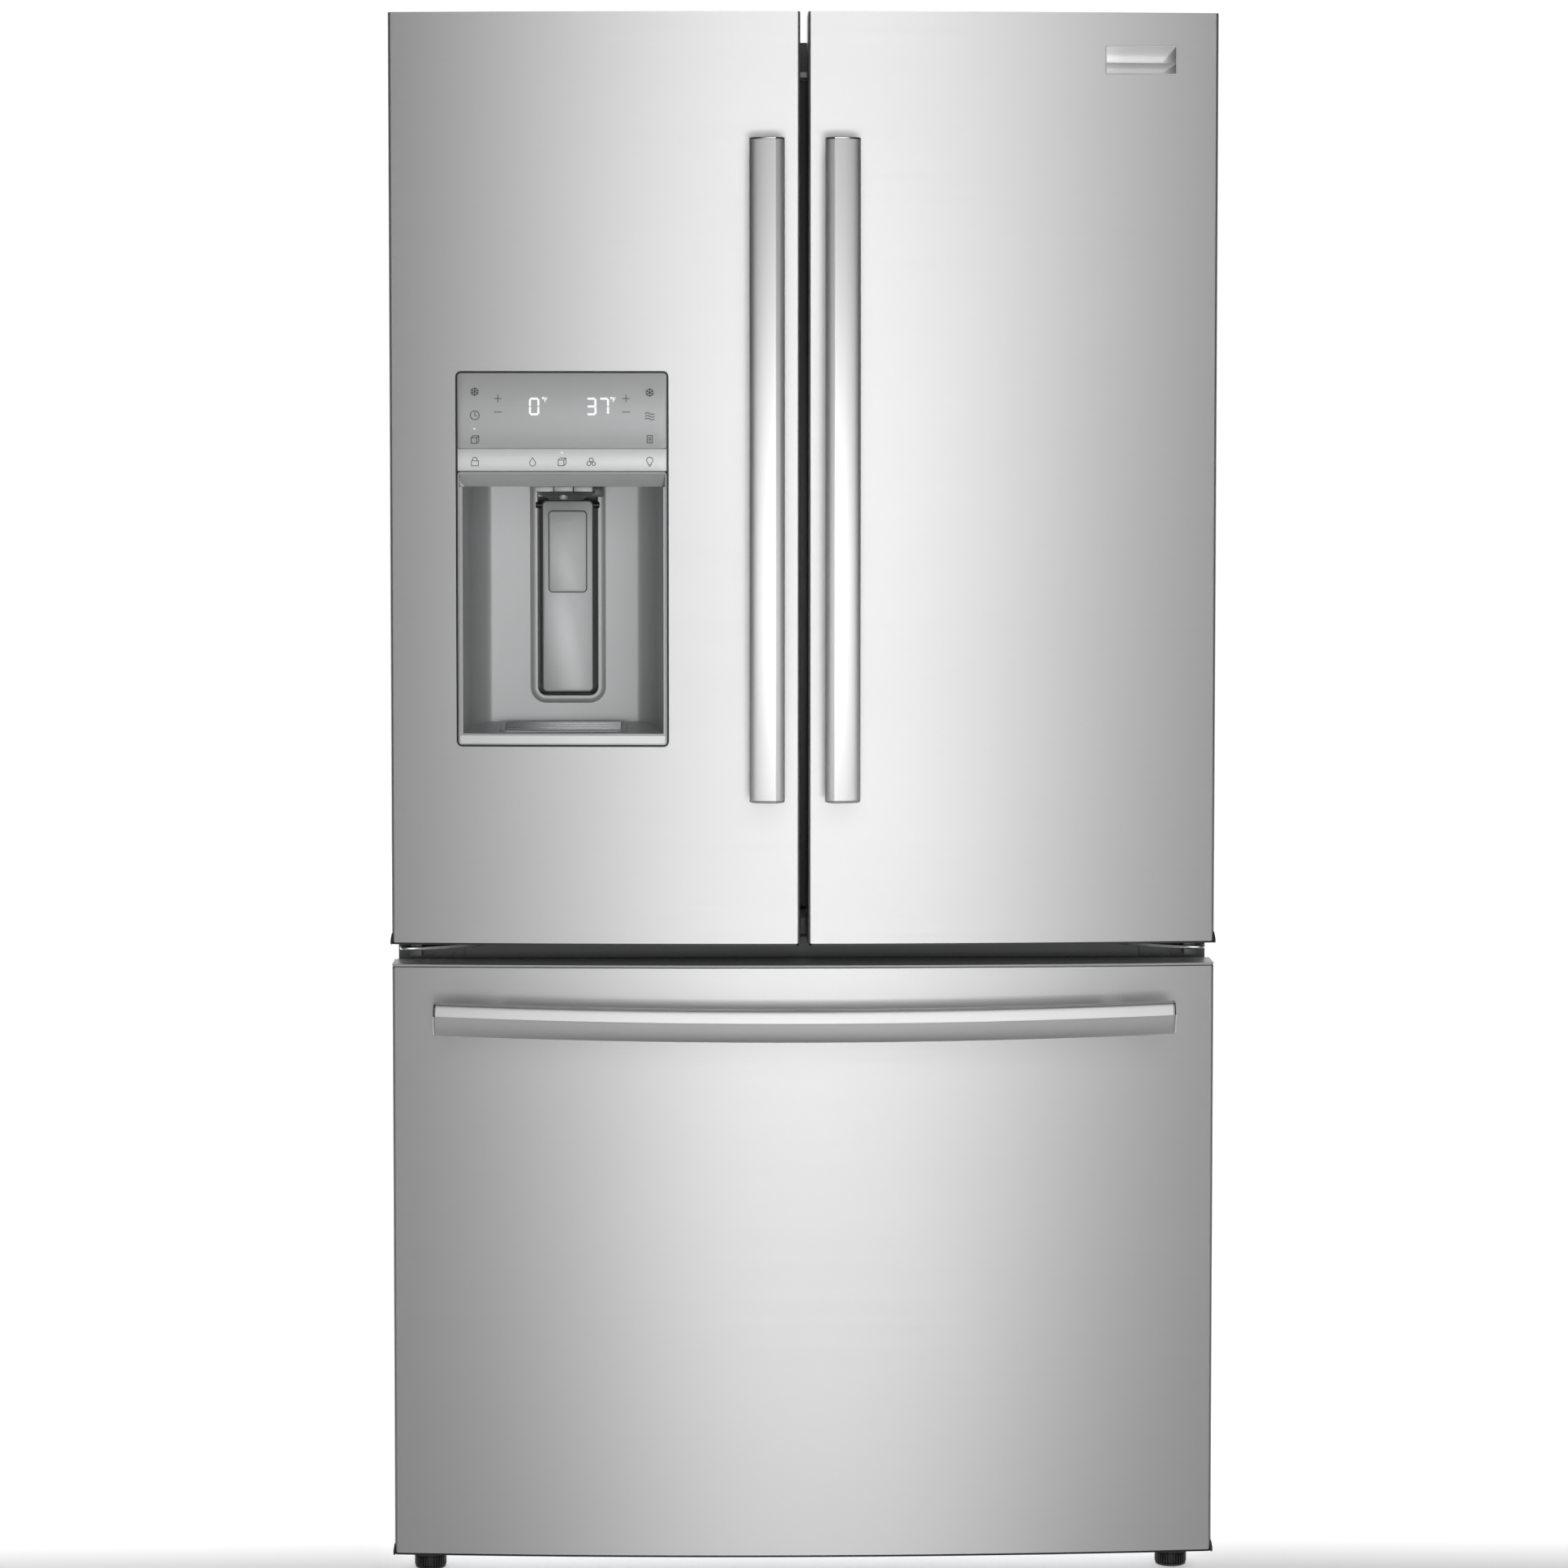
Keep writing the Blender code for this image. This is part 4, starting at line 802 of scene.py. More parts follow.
handleShape = {"sag": 0.010, "steps": 56, "cap": 0.0022, "droop": 0.0075, "drawerZ": 0.650,
               "doorPostX": (0.031, 0.051), "doorPostTall": 0.030, "drawerPostX": 0.345,
               "drawerPost": (0.015, 0.009)}


def barSection(side):
    # Across the bar from its inner edge, with how far each point lies behind the front
    near, far = 0.022, 0.060
    points = [(near, 0.0085), (near + 0.0006, 0.0052), (near + 0.0034, 0.0022), (near + 0.0092, 0.0002),
              (near + 0.0108, 0.0), (near + 0.0150, 0.0002), (near + 0.0230, 0.0010), (far - 0.0075, 0.0024),
              (far - 0.0030, 0.0041), (far - 0.0006, 0.0066), (far, 0.0095), (far - 0.0012, 0.0126),
              (far - 0.0055, 0.0144), (near + 0.0190, 0.0145), (near + 0.0055, 0.0144),
              (near + 0.0012, 0.0122)]
    return [(side * point[0], point[1]) for point in smoothed(points, 3, True)]


def levelSection(top):
    # Down the bar from its top edge: a bright upper face, a ridge, and a lower face
    points = [(top - 0.0004, 0.0125), (top, 0.0090), (top - 0.0008, 0.0062), (top - 0.0032, 0.0040),
              (top - 0.0085, 0.0020), (top - 0.0142, 0.0001), (top - 0.0152, 0.0001), (top - 0.0215, 0.0018),
              (top - 0.0290, 0.0042), (top - 0.0345, 0.0070), (top - 0.0366, 0.0100), (top - 0.0362, 0.0130),
              (top - 0.0325, 0.0149), (top - 0.0190, 0.0150), (top - 0.0060, 0.0149), (top - 0.0018, 0.0144)]
    return [(point[0], point[1]) for point in smoothed(points, 3, True)]


def barRings(section, half, centre, vertical, stations):
    # Rings of a bowed bar: each station is how far along, and how much the section shrinks
    radius = (half ** 2 + handleShape["sag"] ** 2) / (2 * handleShape["sag"])
    middleU = sum(point[0] for point in section) / len(section)
    middleV = sum(point[1] for point in section) / len(section)
    rings = []
    for along, shrink in stations:
        angle = along / radius
        ring = []
        for u, v in section:
            u = middleU + (u - middleU) * shrink
            v = middleV + (v - middleV) * shrink
            away = radius - v
            y = radius - away * math.cos(angle)
            run = away * math.sin(angle)
            place = (u, y, run) if vertical else (run, y, u)
            ring.append(Vector(place) + Vector(centre))
        rings.append(ring)
    return rings


def droopBar(bm, half):
    # A level bar hangs a little lower at its middle
    for vert in bm.verts:
        vert.co.z -= handleShape["droop"] * max(0.0, 1.0 - (vert.co.x / half) ** 2)


def makeBar(name, section, half, centre, vertical, posts, finish, body, node):
    cap = handleShape["cap"]
    inner = half - cap
    steps = handleShape["steps"]
    stations = [(-inner + 2 * inner * i / steps, 1.0) for i in range(steps + 1)]
    ends = [(-inner, 0.985), (-inner + 0.0003, 1.0), (-inner + 0.0010, 1.0)]
    stations = ends + stations[1:-1] + [(-along, shrink) for along, shrink in ends[::-1]]
    bm = bmesh.new()
    joinRings(bm, barRings(section, half, centre, vertical, stations))
    for low, high in posts:
        addBox(bm, low, high, 0.0022, 3)
    if not vertical:
        droopBar(bm, half)
    settle(name, bm, finish, body, (node,), 40.0)
    bm = bmesh.new()
    for end in (-1, 1):
        stations = [(end * (inner + 0.0001), 0.93), (end * (inner + 0.0001), 1.004),
                    (end * (half - 0.0008), 1.004),
                    (end * (half - 0.0003), 0.97), (end * half, 0.90), (end * (half + 0.0003), 0.70),
                    (end * (half + 0.0004), 0.30)]
        joinRings(bm, barRings(section, half, centre, vertical, stations))
    if not vertical:
        droopBar(bm, half)
    settle(name + "_caps", bm, "bright", body, (), 40.0)


def makeHandles():
    for side, label in ((-1, "left"), (1, "right")):
        node = label + "_door_handle"
        a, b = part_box(node)
        half = (b[2] - a[2]) / 2 - 0.0006
        middleZ = (a[2] + b[2]) / 2
        posts = []
        tall = handleShape["doorPostTall"]
        xs = sorted(side * x for x in handleShape["doorPostX"])
        for z in (a[2] + tall, b[2] - 2 * tall):
            posts.append(((xs[0], a[1] + 0.012, z), (xs[1], bowY(0.031) - 0.0002, z + tall)))
        makeBar(label + "_door_grip", barSection(side), half, (0.0, a[1], middleZ), True, posts, "handle",
                bodyOf[node], node)
    a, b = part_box("drawer_handle")
    middleZ = handleShape["drawerZ"]
    wide, tall = handleShape["drawerPost"]
    posts = []
    for x in (-handleShape["drawerPostX"], handleShape["drawerPostX"]):
        posts.append(((x - wide, a[1] + 0.016, middleZ - tall),
                      (x + wide, bowY(0.36) - 0.0004, middleZ + tall)))
    section = levelSection(b[2] - middleZ)
    makeBar("drawer_grip", section, b[0] - 0.0006, (0.0, a[1], middleZ), False, posts, "handleLevel",
            bodyOf["drawer_handle"], "drawer_handle")
    print("handles made")


badgeShape = {"x": (0.3280, 0.4065), "z": (1.6750, 1.7060), "split": 1.6868, "proud": 0.0016,
              "corner": 0.0012}


def makeBadge():
    # A blank plate: a bright frame round two plain fields
    x0, x1 = badgeShape["x"]
    z0, z1 = badgeShape["z"]
    proud = badgeShape["proud"]
    bm = bmesh.new()
    addRing(bm, x0, x1, z0, z1, badgeShape["corner"], [(0.0, 0.0), (0.0, -proud + 0.0003), (0.0003, -proud),
                                                      (0.0009, -proud), (0.0012, -proud + 0.0005),
                                                      (0.0012, 0.0)])
    bendToFront(bm, 0.0001)
    settle("badge_frame", bm, "bright", "right_door")
    for name, low, high, finish, rise in (("badge_upper_field", badgeShape["split"] + 0.0003, z1 - 0.0011,
                                           "badgeLight", proud - 0.0004),
                                          ("badge_lower_field", z0 + 0.0011, badgeShape["split"] - 0.0003,
                                           "badgeDark", proud - 0.0007)):
        bm = bmesh.new()
        addPad(bm, x0 + 0.0011, x1 - 0.0011, low, high, 0.0004, -rise, 0.0, 0.0002)
        bendToFront(bm, 0.0001)
        settle(name, bm, finish, "right_door")
    print("badge plate made")


gapShape = {"half": 0.0050, "z": (0.7290, 0.7565)}
sealShape = {"axis": (-0.0375, -0.2655), "foot": 0.7986, "top": 1.6314, "radius": 0.0042}


def makeGapGuide():
    # The ramp between the doors that the folding centre seal turns in on
    half = gapShape["half"]
    z0, z1 = gapShape["z"]
    front = doorRearY + 0.0010
    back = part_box("flipper_mullion")[0][1] - 0.0008
    bm = bmesh.new()
    outline = [(front + 0.003, z0 - 0.004), (front, z0), (front, z1 - 0.010), (front + 0.004, z1 - 0.001),
               (back, z1),
               (back, z0 - 0.004)]
    addPrism(bm, outline, -half, half, "X")
    bmesh.ops.bevel(bm, geom=bm.edges[:], offset=0.0007, segments=2, profile=0.5, affect="EDGES")
    for vert in bm.verts:
        vert.co.x *= 1.0 - 0.22 * max(0.0, (vert.co.z - z0) / (z1 - z0))
    settle("centre_guide", bm, "capGrey", "cabinet")
    a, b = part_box("flipper_mullion")
    bm = bmesh.new()
    addBox(bm, (a[0] + 0.004, a[1], a[2]), (b[0], b[1], b[2]), 0.0016, 3)
    for x in (-0.020, 0.014):
        addBox(bm, (x - 0.0045, a[1] - 0.0009, a[2] + 0.004), (x + 0.0045, a[1] + 0.001, b[2] - 0.004),
               0.0006, 2)
    for z in (a[2] + 0.042, (a[2] + b[2]) / 2, b[2] - 0.042):
        addBox(bm, (a[0] + 0.001, a[1] + 0.012, z - 0.010), (a[0] + 0.008, b[1] - 0.003, z + 0.010), 0.0008,
               2)
    x, y = sealShape["axis"]
    z0, z1, radius = sealShape["foot"], sealShape["top"], sealShape["radius"]
    knuckle = bmesh.new()
    addTurned(knuckle, [(0.0, z0), (radius, z0), (radius, z1), (0.0, z1)], (x, y, 0.0), "Z", 24)
    copyInto(bm, knuckle)
    addBox(bm, (x, y - 0.0025, z0 + 0.0004), (x + 0.0055, y + 0.0025, z1 - 0.0004), 0.0008, 2)
    settle("centre_seal_bar", bm, "black", "centre_seal", ("flipper_mullion",))
    print("centre guide and seal bar made")


# Water and ice dispenser

dispenserShape = {"outline": 0.0022, "corner": 0.0058, "stripTop": 1.2682, "stripFoot": 1.2438,
                  "hoodTop": 1.2424, "hoodFoot": 1.2268, "floorFront": 0.9560, "floorBack": 0.9632,
                  "backHalf": 0.0800, "backY": -0.262, "channelHalf": 0.0370, "channelY": -0.2346,
                  "channelZ": (0.9890, 1.2160), "paddleShift": 0.0035, "floorStart": -0.362,
                  "floorRun": 0.100,
                  "faceY": -0.3455}
dispenserLow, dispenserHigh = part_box("dispenser_housing")
dispenserMid = (dispenserLow[0] + dispenserHigh[0]) / 2
paddleMid = dispenserMid + dispenserShape["paddleShift"]


def floorHeight(y):
    # The recess floor climbs a little towards the back
    front, back = dispenserShape["floorFront"], dispenserShape["floorBack"]
    share = min(max((y - dispenserShape["floorStart"]) / dispenserShape["floorRun"], 0.0), 1.0)
    return front + (back - front) * share


def recessPlan(mouthInset):
    # Plan of the recess: side walls that run back and curve round to a flat rear wall
    half = dispenserShape["backHalf"]
    back = dispenserShape["backY"]
    left = dispenserLow[0] + mouthInset
    right = dispenserHigh[0] - mouthInset
    sides = []
    for edge, side in ((left, -1), (right, 1)):
        wall = [(edge, -0.380), (edge - side * 0.0035, -0.352), (edge - side * 0.0090, -0.318)]
        start = wall[-1]
        end = (dispenserMid + side * half, back)
        for i in range(1, 13):
            t = math.radians(90 * i / 12)
            wall.append((start[0] + (end[0] - start[0]) * (1 - math.cos(t)),
                         start[1] + (end[1] - start[1]) * math.sin(t)))
        sides.append(wall)
    return sides[0] + sides[1][::-1]


def makeRecess():
    shape = dispenserShape
    low, high = dispenserLow, dispenserHigh
    left, right = low[0] + 0.0016, high[0] - 0.0016
    bm = bmesh.new()
    xs = [low[0] + 0.0016 + (high[0] - low[0] - 0.0032) * i / 16 for i in range(17)]
    outline = [(x, bowY(x) - 0.0002) for x in xs] + [(right, high[1]), (left, high[1])]
    addPrism(bm, outline, low[2] + 0.0006, high[2] - 0.0006)
    recess = bmesh.new()
    for vert in addPrism(recess, recessPlan(0.0040), shape["floorFront"], shape["hoodFoot"] + 0.003)[0]:
        vert.co.z = floorHeight(vert.co.y)
    bm = cutShape(bm, recess)
    hood = bmesh.new()
    addBox(hood, (low[0] - 0.01, -0.5, shape["hoodFoot"] - 0.0002),
           (high[0] + 0.01, shape["faceY"], shape["hoodTop"] + 0.003))
    bm = cutShape(bm, hood)
    pocket = bmesh.new()
    addBox(pocket, (low[0] + 0.0030, -0.5, shape["stripFoot"] - 0.0002),
           (high[0] - 0.0030, shape["faceY"], high[2] - 0.0034))
    bm = cutShape(bm, pocket)
    channel = bmesh.new()
    half = shape["channelHalf"]
    lowZ, highZ = shape["channelZ"]
    outline = [(-half, highZ), (-half, lowZ + 0.012)]
    for a in (22.5, 45, 67.5, 90):
        outline.append((-half + 0.012 - 0.012 * math.cos(math.radians(a)),
                        lowZ + 0.012 - 0.012 * math.sin(math.radians(a))))
    outline += [(-u, v) for u, v in outline[::-1]]
    addPrism(channel, [(paddleMid + u, v) for u, v in outline], -0.30, shape["channelY"], "Y")
    bm = cutShape(bm, channel)
    settle("dispenser_recess", bm, "recess", "left_door", ("dispenser_housing",), 38.0)

    bm = bmesh.new()
    wide = shape["outline"]
    addRing(bm, low[0] + 0.0002, high[0] - 0.0002, low[2] + 0.0002, high[2] - 0.0002, shape["corner"],
            [(0.0, 0.004), (0.0, -0.0003), (0.0006, -0.0010), (wide - 0.0005, -0.0010), (wide, -0.0005),
             (wide, 0.004)], 8)
    bendToFront(bm, 0.0, 0.012)
    settle("dispenser_rim", bm, "black", "left_door")

    bm = bmesh.new()
    addRing(bm, low[0] + wide - 0.0002, high[0] - wide + 0.0002, low[2] + wide - 0.0002,
            shape["hoodTop"] + 0.0006,
            0.0036, [(0.0, 0.006), (0.0, -0.0004), (0.0004, -0.0008), (0.0014, -0.0008), (0.0020, -0.0002),
                     (0.0022, 0.006)], 8)
    bendToFront(bm, 0.0, 0.012)
    settle("dispenser_bezel", bm, "recess", "left_door")


def makeHood():
    # The lip over the recess leans inwards, and the nozzle hangs under it
    shape = dispenserShape
    low, high = dispenserLow, dispenserHigh
    x0, x1 = low[0] + 0.0036, high[0] - 0.0036
    front = -0.0008
    bm = bmesh.new()
    outline = [(0.026, shape["hoodFoot"]), (0.0105, shape["hoodFoot"]), (0.0098, shape["hoodFoot"] + 0.0006),
               (front, shape["hoodTop"] - 0.0012), (front + 0.0006, shape["hoodTop"]),
               (0.026, shape["hoodTop"])]
    addPrism(bm, outline, x0, x1, "X")
    for vert in bm.verts:
        lean = min(1.0, (shape["hoodTop"] - vert.co.z) / 0.0150)
        vert.co.x += (0.0034 if vert.co.x < dispenserMid else -0.0034) * lean
    bendToFront(bm, 0.0, 0.012)
    settle("dispenser_hood", bm, "hoodGrey", "left_door")

    bm = bmesh.new()
    y0, y1 = -0.3330, -0.2860
    for i in range(3):
        x = -0.2952 + i * 0.0214
        addBox(bm, (x + 0.0003, y0 + (0.002 if i != 1 else 0.0), 1.2204), (x + 0.0210, y1, 1.2266), 0.0008,
               2)
    settle("nozzle_blocks", bm, "nozzleGrey", "left_door", ("dispenser_nozzle",))
    bm = bmesh.new()
    addTurned(bm, [(0.0, 1.2203), (0.0318, 1.2203), (0.0322, 1.2196), (0.0306, 1.2176), (0.0262, 1.2150),
                   (0.0205, 1.2134), (0.0200, 1.2120), (0.0184, 1.2114), (0.0, 1.2114)],
              (-0.2610, -0.3050, 0.0), "Z", 40)
    addBox(bm, (-0.2480, -0.2980, 1.2140), (-0.2200, dispenserShape["backY"] - 0.0004, 1.2262), 0.0010, 2)
    settle("nozzle_dish", bm, "dishAndSlotShadeGrey", "left_door")
    bm = bmesh.new()
    addTurned(bm, [(0.0, 1.2190), (0.0042, 1.2186), (0.0048, 1.2172), (0.0046, 1.2140), (0.0036, 1.2126),
                   (0.0, 1.2122)], (-0.2632, -0.3300, 0.0), "Z", 20)
    settle("water_spout", bm, "nozzleGrey", "left_door")


def makePanel():
    shape = dispenserShape
    low, high = dispenserLow, dispenserHigh
    wide = shape["outline"]
    x0, x1 = low[0] + wide, high[0] - wide
    bm = bmesh.new()
    addPad(bm, x0 - 0.0001, x1 + 0.0001, shape["stripTop"] + 0.0001, high[2] - wide + 0.0001, 0.0036,
           -0.0007, 0.016, 0.0003)
    bendToFront(bm, 0.0, 0.010)
    settle("control_panel", bm, "panelGrey", "left_door", ("dispenser_panel",))
    bm = bmesh.new()
    addPad(bm, x0 - 0.0001, x1 + 0.0001, shape["stripFoot"], shape["stripTop"] - 0.0001, 0.0006, -0.0008,
           0.016, 0.0003)
    bendToFront(bm, 0.0, 0.010)
    settle("button_strip", bm, "stripGrey", "left_door")
    bm = bmesh.new()
    addPad(bm, x0, x1, shape["hoodTop"] + 0.0001, shape["stripFoot"] - 0.0001, 0.0003, -0.0001, 0.015,
           0.0001)
    bendToFront(bm, 0.0, 0.010)
    settle("panel_joint", bm, "black", "left_door")


digitStrokes = {"0": "abcdef", "3": "abcdg", "7": "abc"}


def drawDigit(bm, digit, x, z, wide, tall, weight):
    # A seven bar figure, with a small gap between its bars
    short = weight * 0.62
    half = tall / 2
    bars = {"a": ((x + short, z + half), (x + wide - short, z + half)),
            "b": ((x + wide, z + half - short), (x + wide, z + short)),
            "c": ((x + wide, z - short), (x + wide, z - half + short)),
            "d": ((x + short, z - half), (x + wide - short, z - half)),
            "e": ((x, z - short), (x, z - half + short)),
            "f": ((x, z + half - short), (x, z + short)),
            "g": ((x + short, z), (x + wide - short, z))}
    for bar in digitStrokes[digit]:
        addStroke(bm, bars[bar], weight)


def drawDegree(bm, x, z):
    addStroke(bm, circlePoints(x, z + 0.0020, 0.0008, 12), 0.0004, True)
    addStroke(bm, [(x + 0.0020, z - 0.0024), (x + 0.0020, z + 0.0022), (x + 0.0046, z + 0.0022)], 0.0006)
    addStroke(bm, [(x + 0.0020, z), (x + 0.0040, z)], 0.0006)


iconLine = 0.0007


def drawIcon(bm, kind, x, z, size=0.0036):
    # Plain signs for what each touch point does
    s = size
    if kind == "plus":
        addStroke(bm, [(x - s, z), (x + s, z)], iconLine)
        addStroke(bm, [(x, z - s), (x, z + s)], iconLine)
    elif kind == "minus":
        addStroke(bm, [(x - s, z), (x + s, z)], iconLine)
    elif kind == "flake":
        for k in range(3):
            a = math.radians(60 * k + 30)
            addStroke(bm, [(x - s * math.cos(a), z - s * math.sin(a)),
                           (x + s * math.cos(a), z + s * math.sin(a))],
                      iconLine)
        for k in range(6):
            a = math.radians(60 * k + 30)
            for turn in (-0.42, 0.42):
                addStroke(bm, [(x + 0.55 * s * math.cos(a), z + 0.55 * s * math.sin(a)),
                               (x + 0.86 * s * math.cos(a + turn),
                                z + 0.86 * s * math.sin(a + turn))], iconLine)
    elif kind == "clock":
        addStroke(bm, circlePoints(x, z, s, 24), iconLine, True)
        addStroke(bm, [(x, z + 0.62 * s), (x, z), (x + 0.45 * s, z - 0.2 * s)], iconLine)
    elif kind == "cube":
        addStroke(bm, [(x - 0.85 * s, z - 0.75 * s), (x + 0.45 * s, z - 0.75 * s),
                       (x + 0.45 * s, z + 0.5 * s),
                       (x - 0.85 * s, z + 0.5 * s)], iconLine, True)
        addStroke(bm, [(x - 0.85 * s, z + 0.5 * s), (x - 0.40 * s, z + 0.95 * s),
                       (x + 0.90 * s, z + 0.95 * s),
                       (x + 0.45 * s, z + 0.5 * s)], iconLine)
        addStroke(bm, [(x + 0.90 * s, z + 0.95 * s), (x + 0.90 * s, z - 0.30 * s),
                       (x + 0.45 * s, z - 0.75 * s)],
                  iconLine)
    elif kind == "chips":
        for dx, dz, r in ((-0.55, -0.35, 0.5), (0.55, -0.40, 0.45), (0.0, 0.45, 0.5)):
            addStroke(bm, circlePoints(x + dx * s, z + dz * s, r * s, 5, 18 * dx), iconLine, True)
    elif kind == "drop":
        outline = [(x, z + s)] + circlePoints(x, z - 0.28 * s, 0.66 * s, 14, 22, -224)
        addStroke(bm, outline, iconLine, True)
    elif kind == "air":
        for k in (-1, 0, 1):
            wave = [(x - s + 2 * s * i / 10, z + 0.62 * s * k + 0.20 * s * math.sin(math.tau * i / 10))
                    for i in range(11)]
            addStroke(bm, wave, iconLine)
    elif kind == "filter":
        addStroke(bm, [(x - 0.6 * s, z + 0.85 * s), (x + 0.6 * s, z + 0.85 * s), (x + 0.6 * s, z - 0.85 * s),
                       (x - 0.6 * s, z - 0.85 * s)], iconLine, True)
        for k in (-0.35, 0.0, 0.35):
            addStroke(bm, [(x - 0.3 * s, z + k * s), (x + 0.3 * s, z + k * s)], iconLine)
    elif kind == "lock":
        addStroke(bm, [(x - 0.78 * s, z - s), (x + 0.78 * s, z - s), (x + 0.78 * s, z + 0.12 * s),
                       (x - 0.78 * s, z + 0.12 * s)], iconLine, True)
        addStroke(bm, circlePoints(x, z + 0.42 * s, 0.52 * s, 10, 0, 180), iconLine)
        for dx in (-0.52, 0.52):
            addStroke(bm, [(x + dx * s, z + 0.12 * s), (x + dx * s, z + 0.42 * s)], iconLine)
    elif kind == "bulb":
        addStroke(bm, circlePoints(x, z + 0.25 * s, 0.72 * s, 14, -50, 280), iconLine)
        addStroke(bm, [(x + 0.46 * s, z - 0.30 * s), (x + 0.26 * s, z - 0.80 * s),
                       (x - 0.26 * s, z - 0.80 * s),
                       (x - 0.46 * s, z - 0.30 * s)], iconLine)
        addStroke(bm, [(x - 0.18 * s, z - 1.05 * s), (x + 0.18 * s, z - 1.05 * s)], iconLine)


panelMarks = {"left": -0.3590, "right": -0.1682, "rows": (1.3303, 1.3045, 1.2785), "plusZ": 1.3228,
              "minusZ": 1.3081,
              "leftPlus": -0.3337, "rightPlus": -0.1940, "digitZ": 1.3142, "digitTall": 0.0170,
              "digitWide": 0.0092,
              "stripZ": 1.2538, "stripX": (-0.2960, -0.2640, -0.2320)}


def makeMarks():
    marks = panelMarks
    dark = bmesh.new()
    for kind, x, z in (("flake", marks["left"], marks["rows"][0]),
                       ("clock", marks["left"], marks["rows"][1]),
                       ("cube", marks["left"], marks["rows"][2] - 0.0008),
                       ("flake", marks["right"], marks["rows"][0] - 0.001),
                       ("air", marks["right"], marks["rows"][1] - 0.001),
                       ("filter", marks["right"], marks["rows"][2]),
                       ("lock", marks["left"], marks["stripZ"] + 0.0006),
                       ("bulb", marks["right"], marks["stripZ"] + 0.0006),
                       ("drop", marks["stripX"][0], marks["stripZ"]),
                       ("cube", marks["stripX"][1], marks["stripZ"] - 0.0004),
                       ("chips", marks["stripX"][2], marks["stripZ"])):
        drawIcon(dark, kind, x, z, 0.0048)
    for x in (marks["leftPlus"], marks["rightPlus"]):
        drawIcon(dark, "plus", x, marks["plusZ"], 0.0040)
        drawIcon(dark, "minus", x, marks["minusZ"], 0.0040)
    bendToFront(dark, 0.0008, 0.03)
    settle("panel_signs", dark, "inkDark", "left_door")
    light = bmesh.new()
    wide, tall, z = marks["digitWide"], marks["digitTall"], marks["digitZ"]
    drawDigit(light, "0", -0.2987, z, wide, tall, 0.0020)
    drawDigit(light, "3", -0.2365, z, wide, tall, 0.0020)
    drawDigit(light, "7", -0.2228, z, wide, tall, 0.0020)
    drawDegree(light, -0.2845, z + 0.0072)
    drawDegree(light, -0.2100, z + 0.0072)
    for x, high in ((marks["left"] - 0.0006, 1.2898), (marks["stripX"][1], 1.2640)):
        addStroke(light, [(x - 0.0006, high), (x + 0.0006, high)], 0.0013)
    bendToFront(light, 0.0008, 0.03)
    settle("panel_lights", light, "inkLight", "left_door")
    print("control panel made")


paddleShape = {"axis": (-0.2655, 1.2045), "faceY": -0.2700, "half": 0.0285, "padHalf": 0.0205,
               "padZ": (1.1085, 1.1975)}


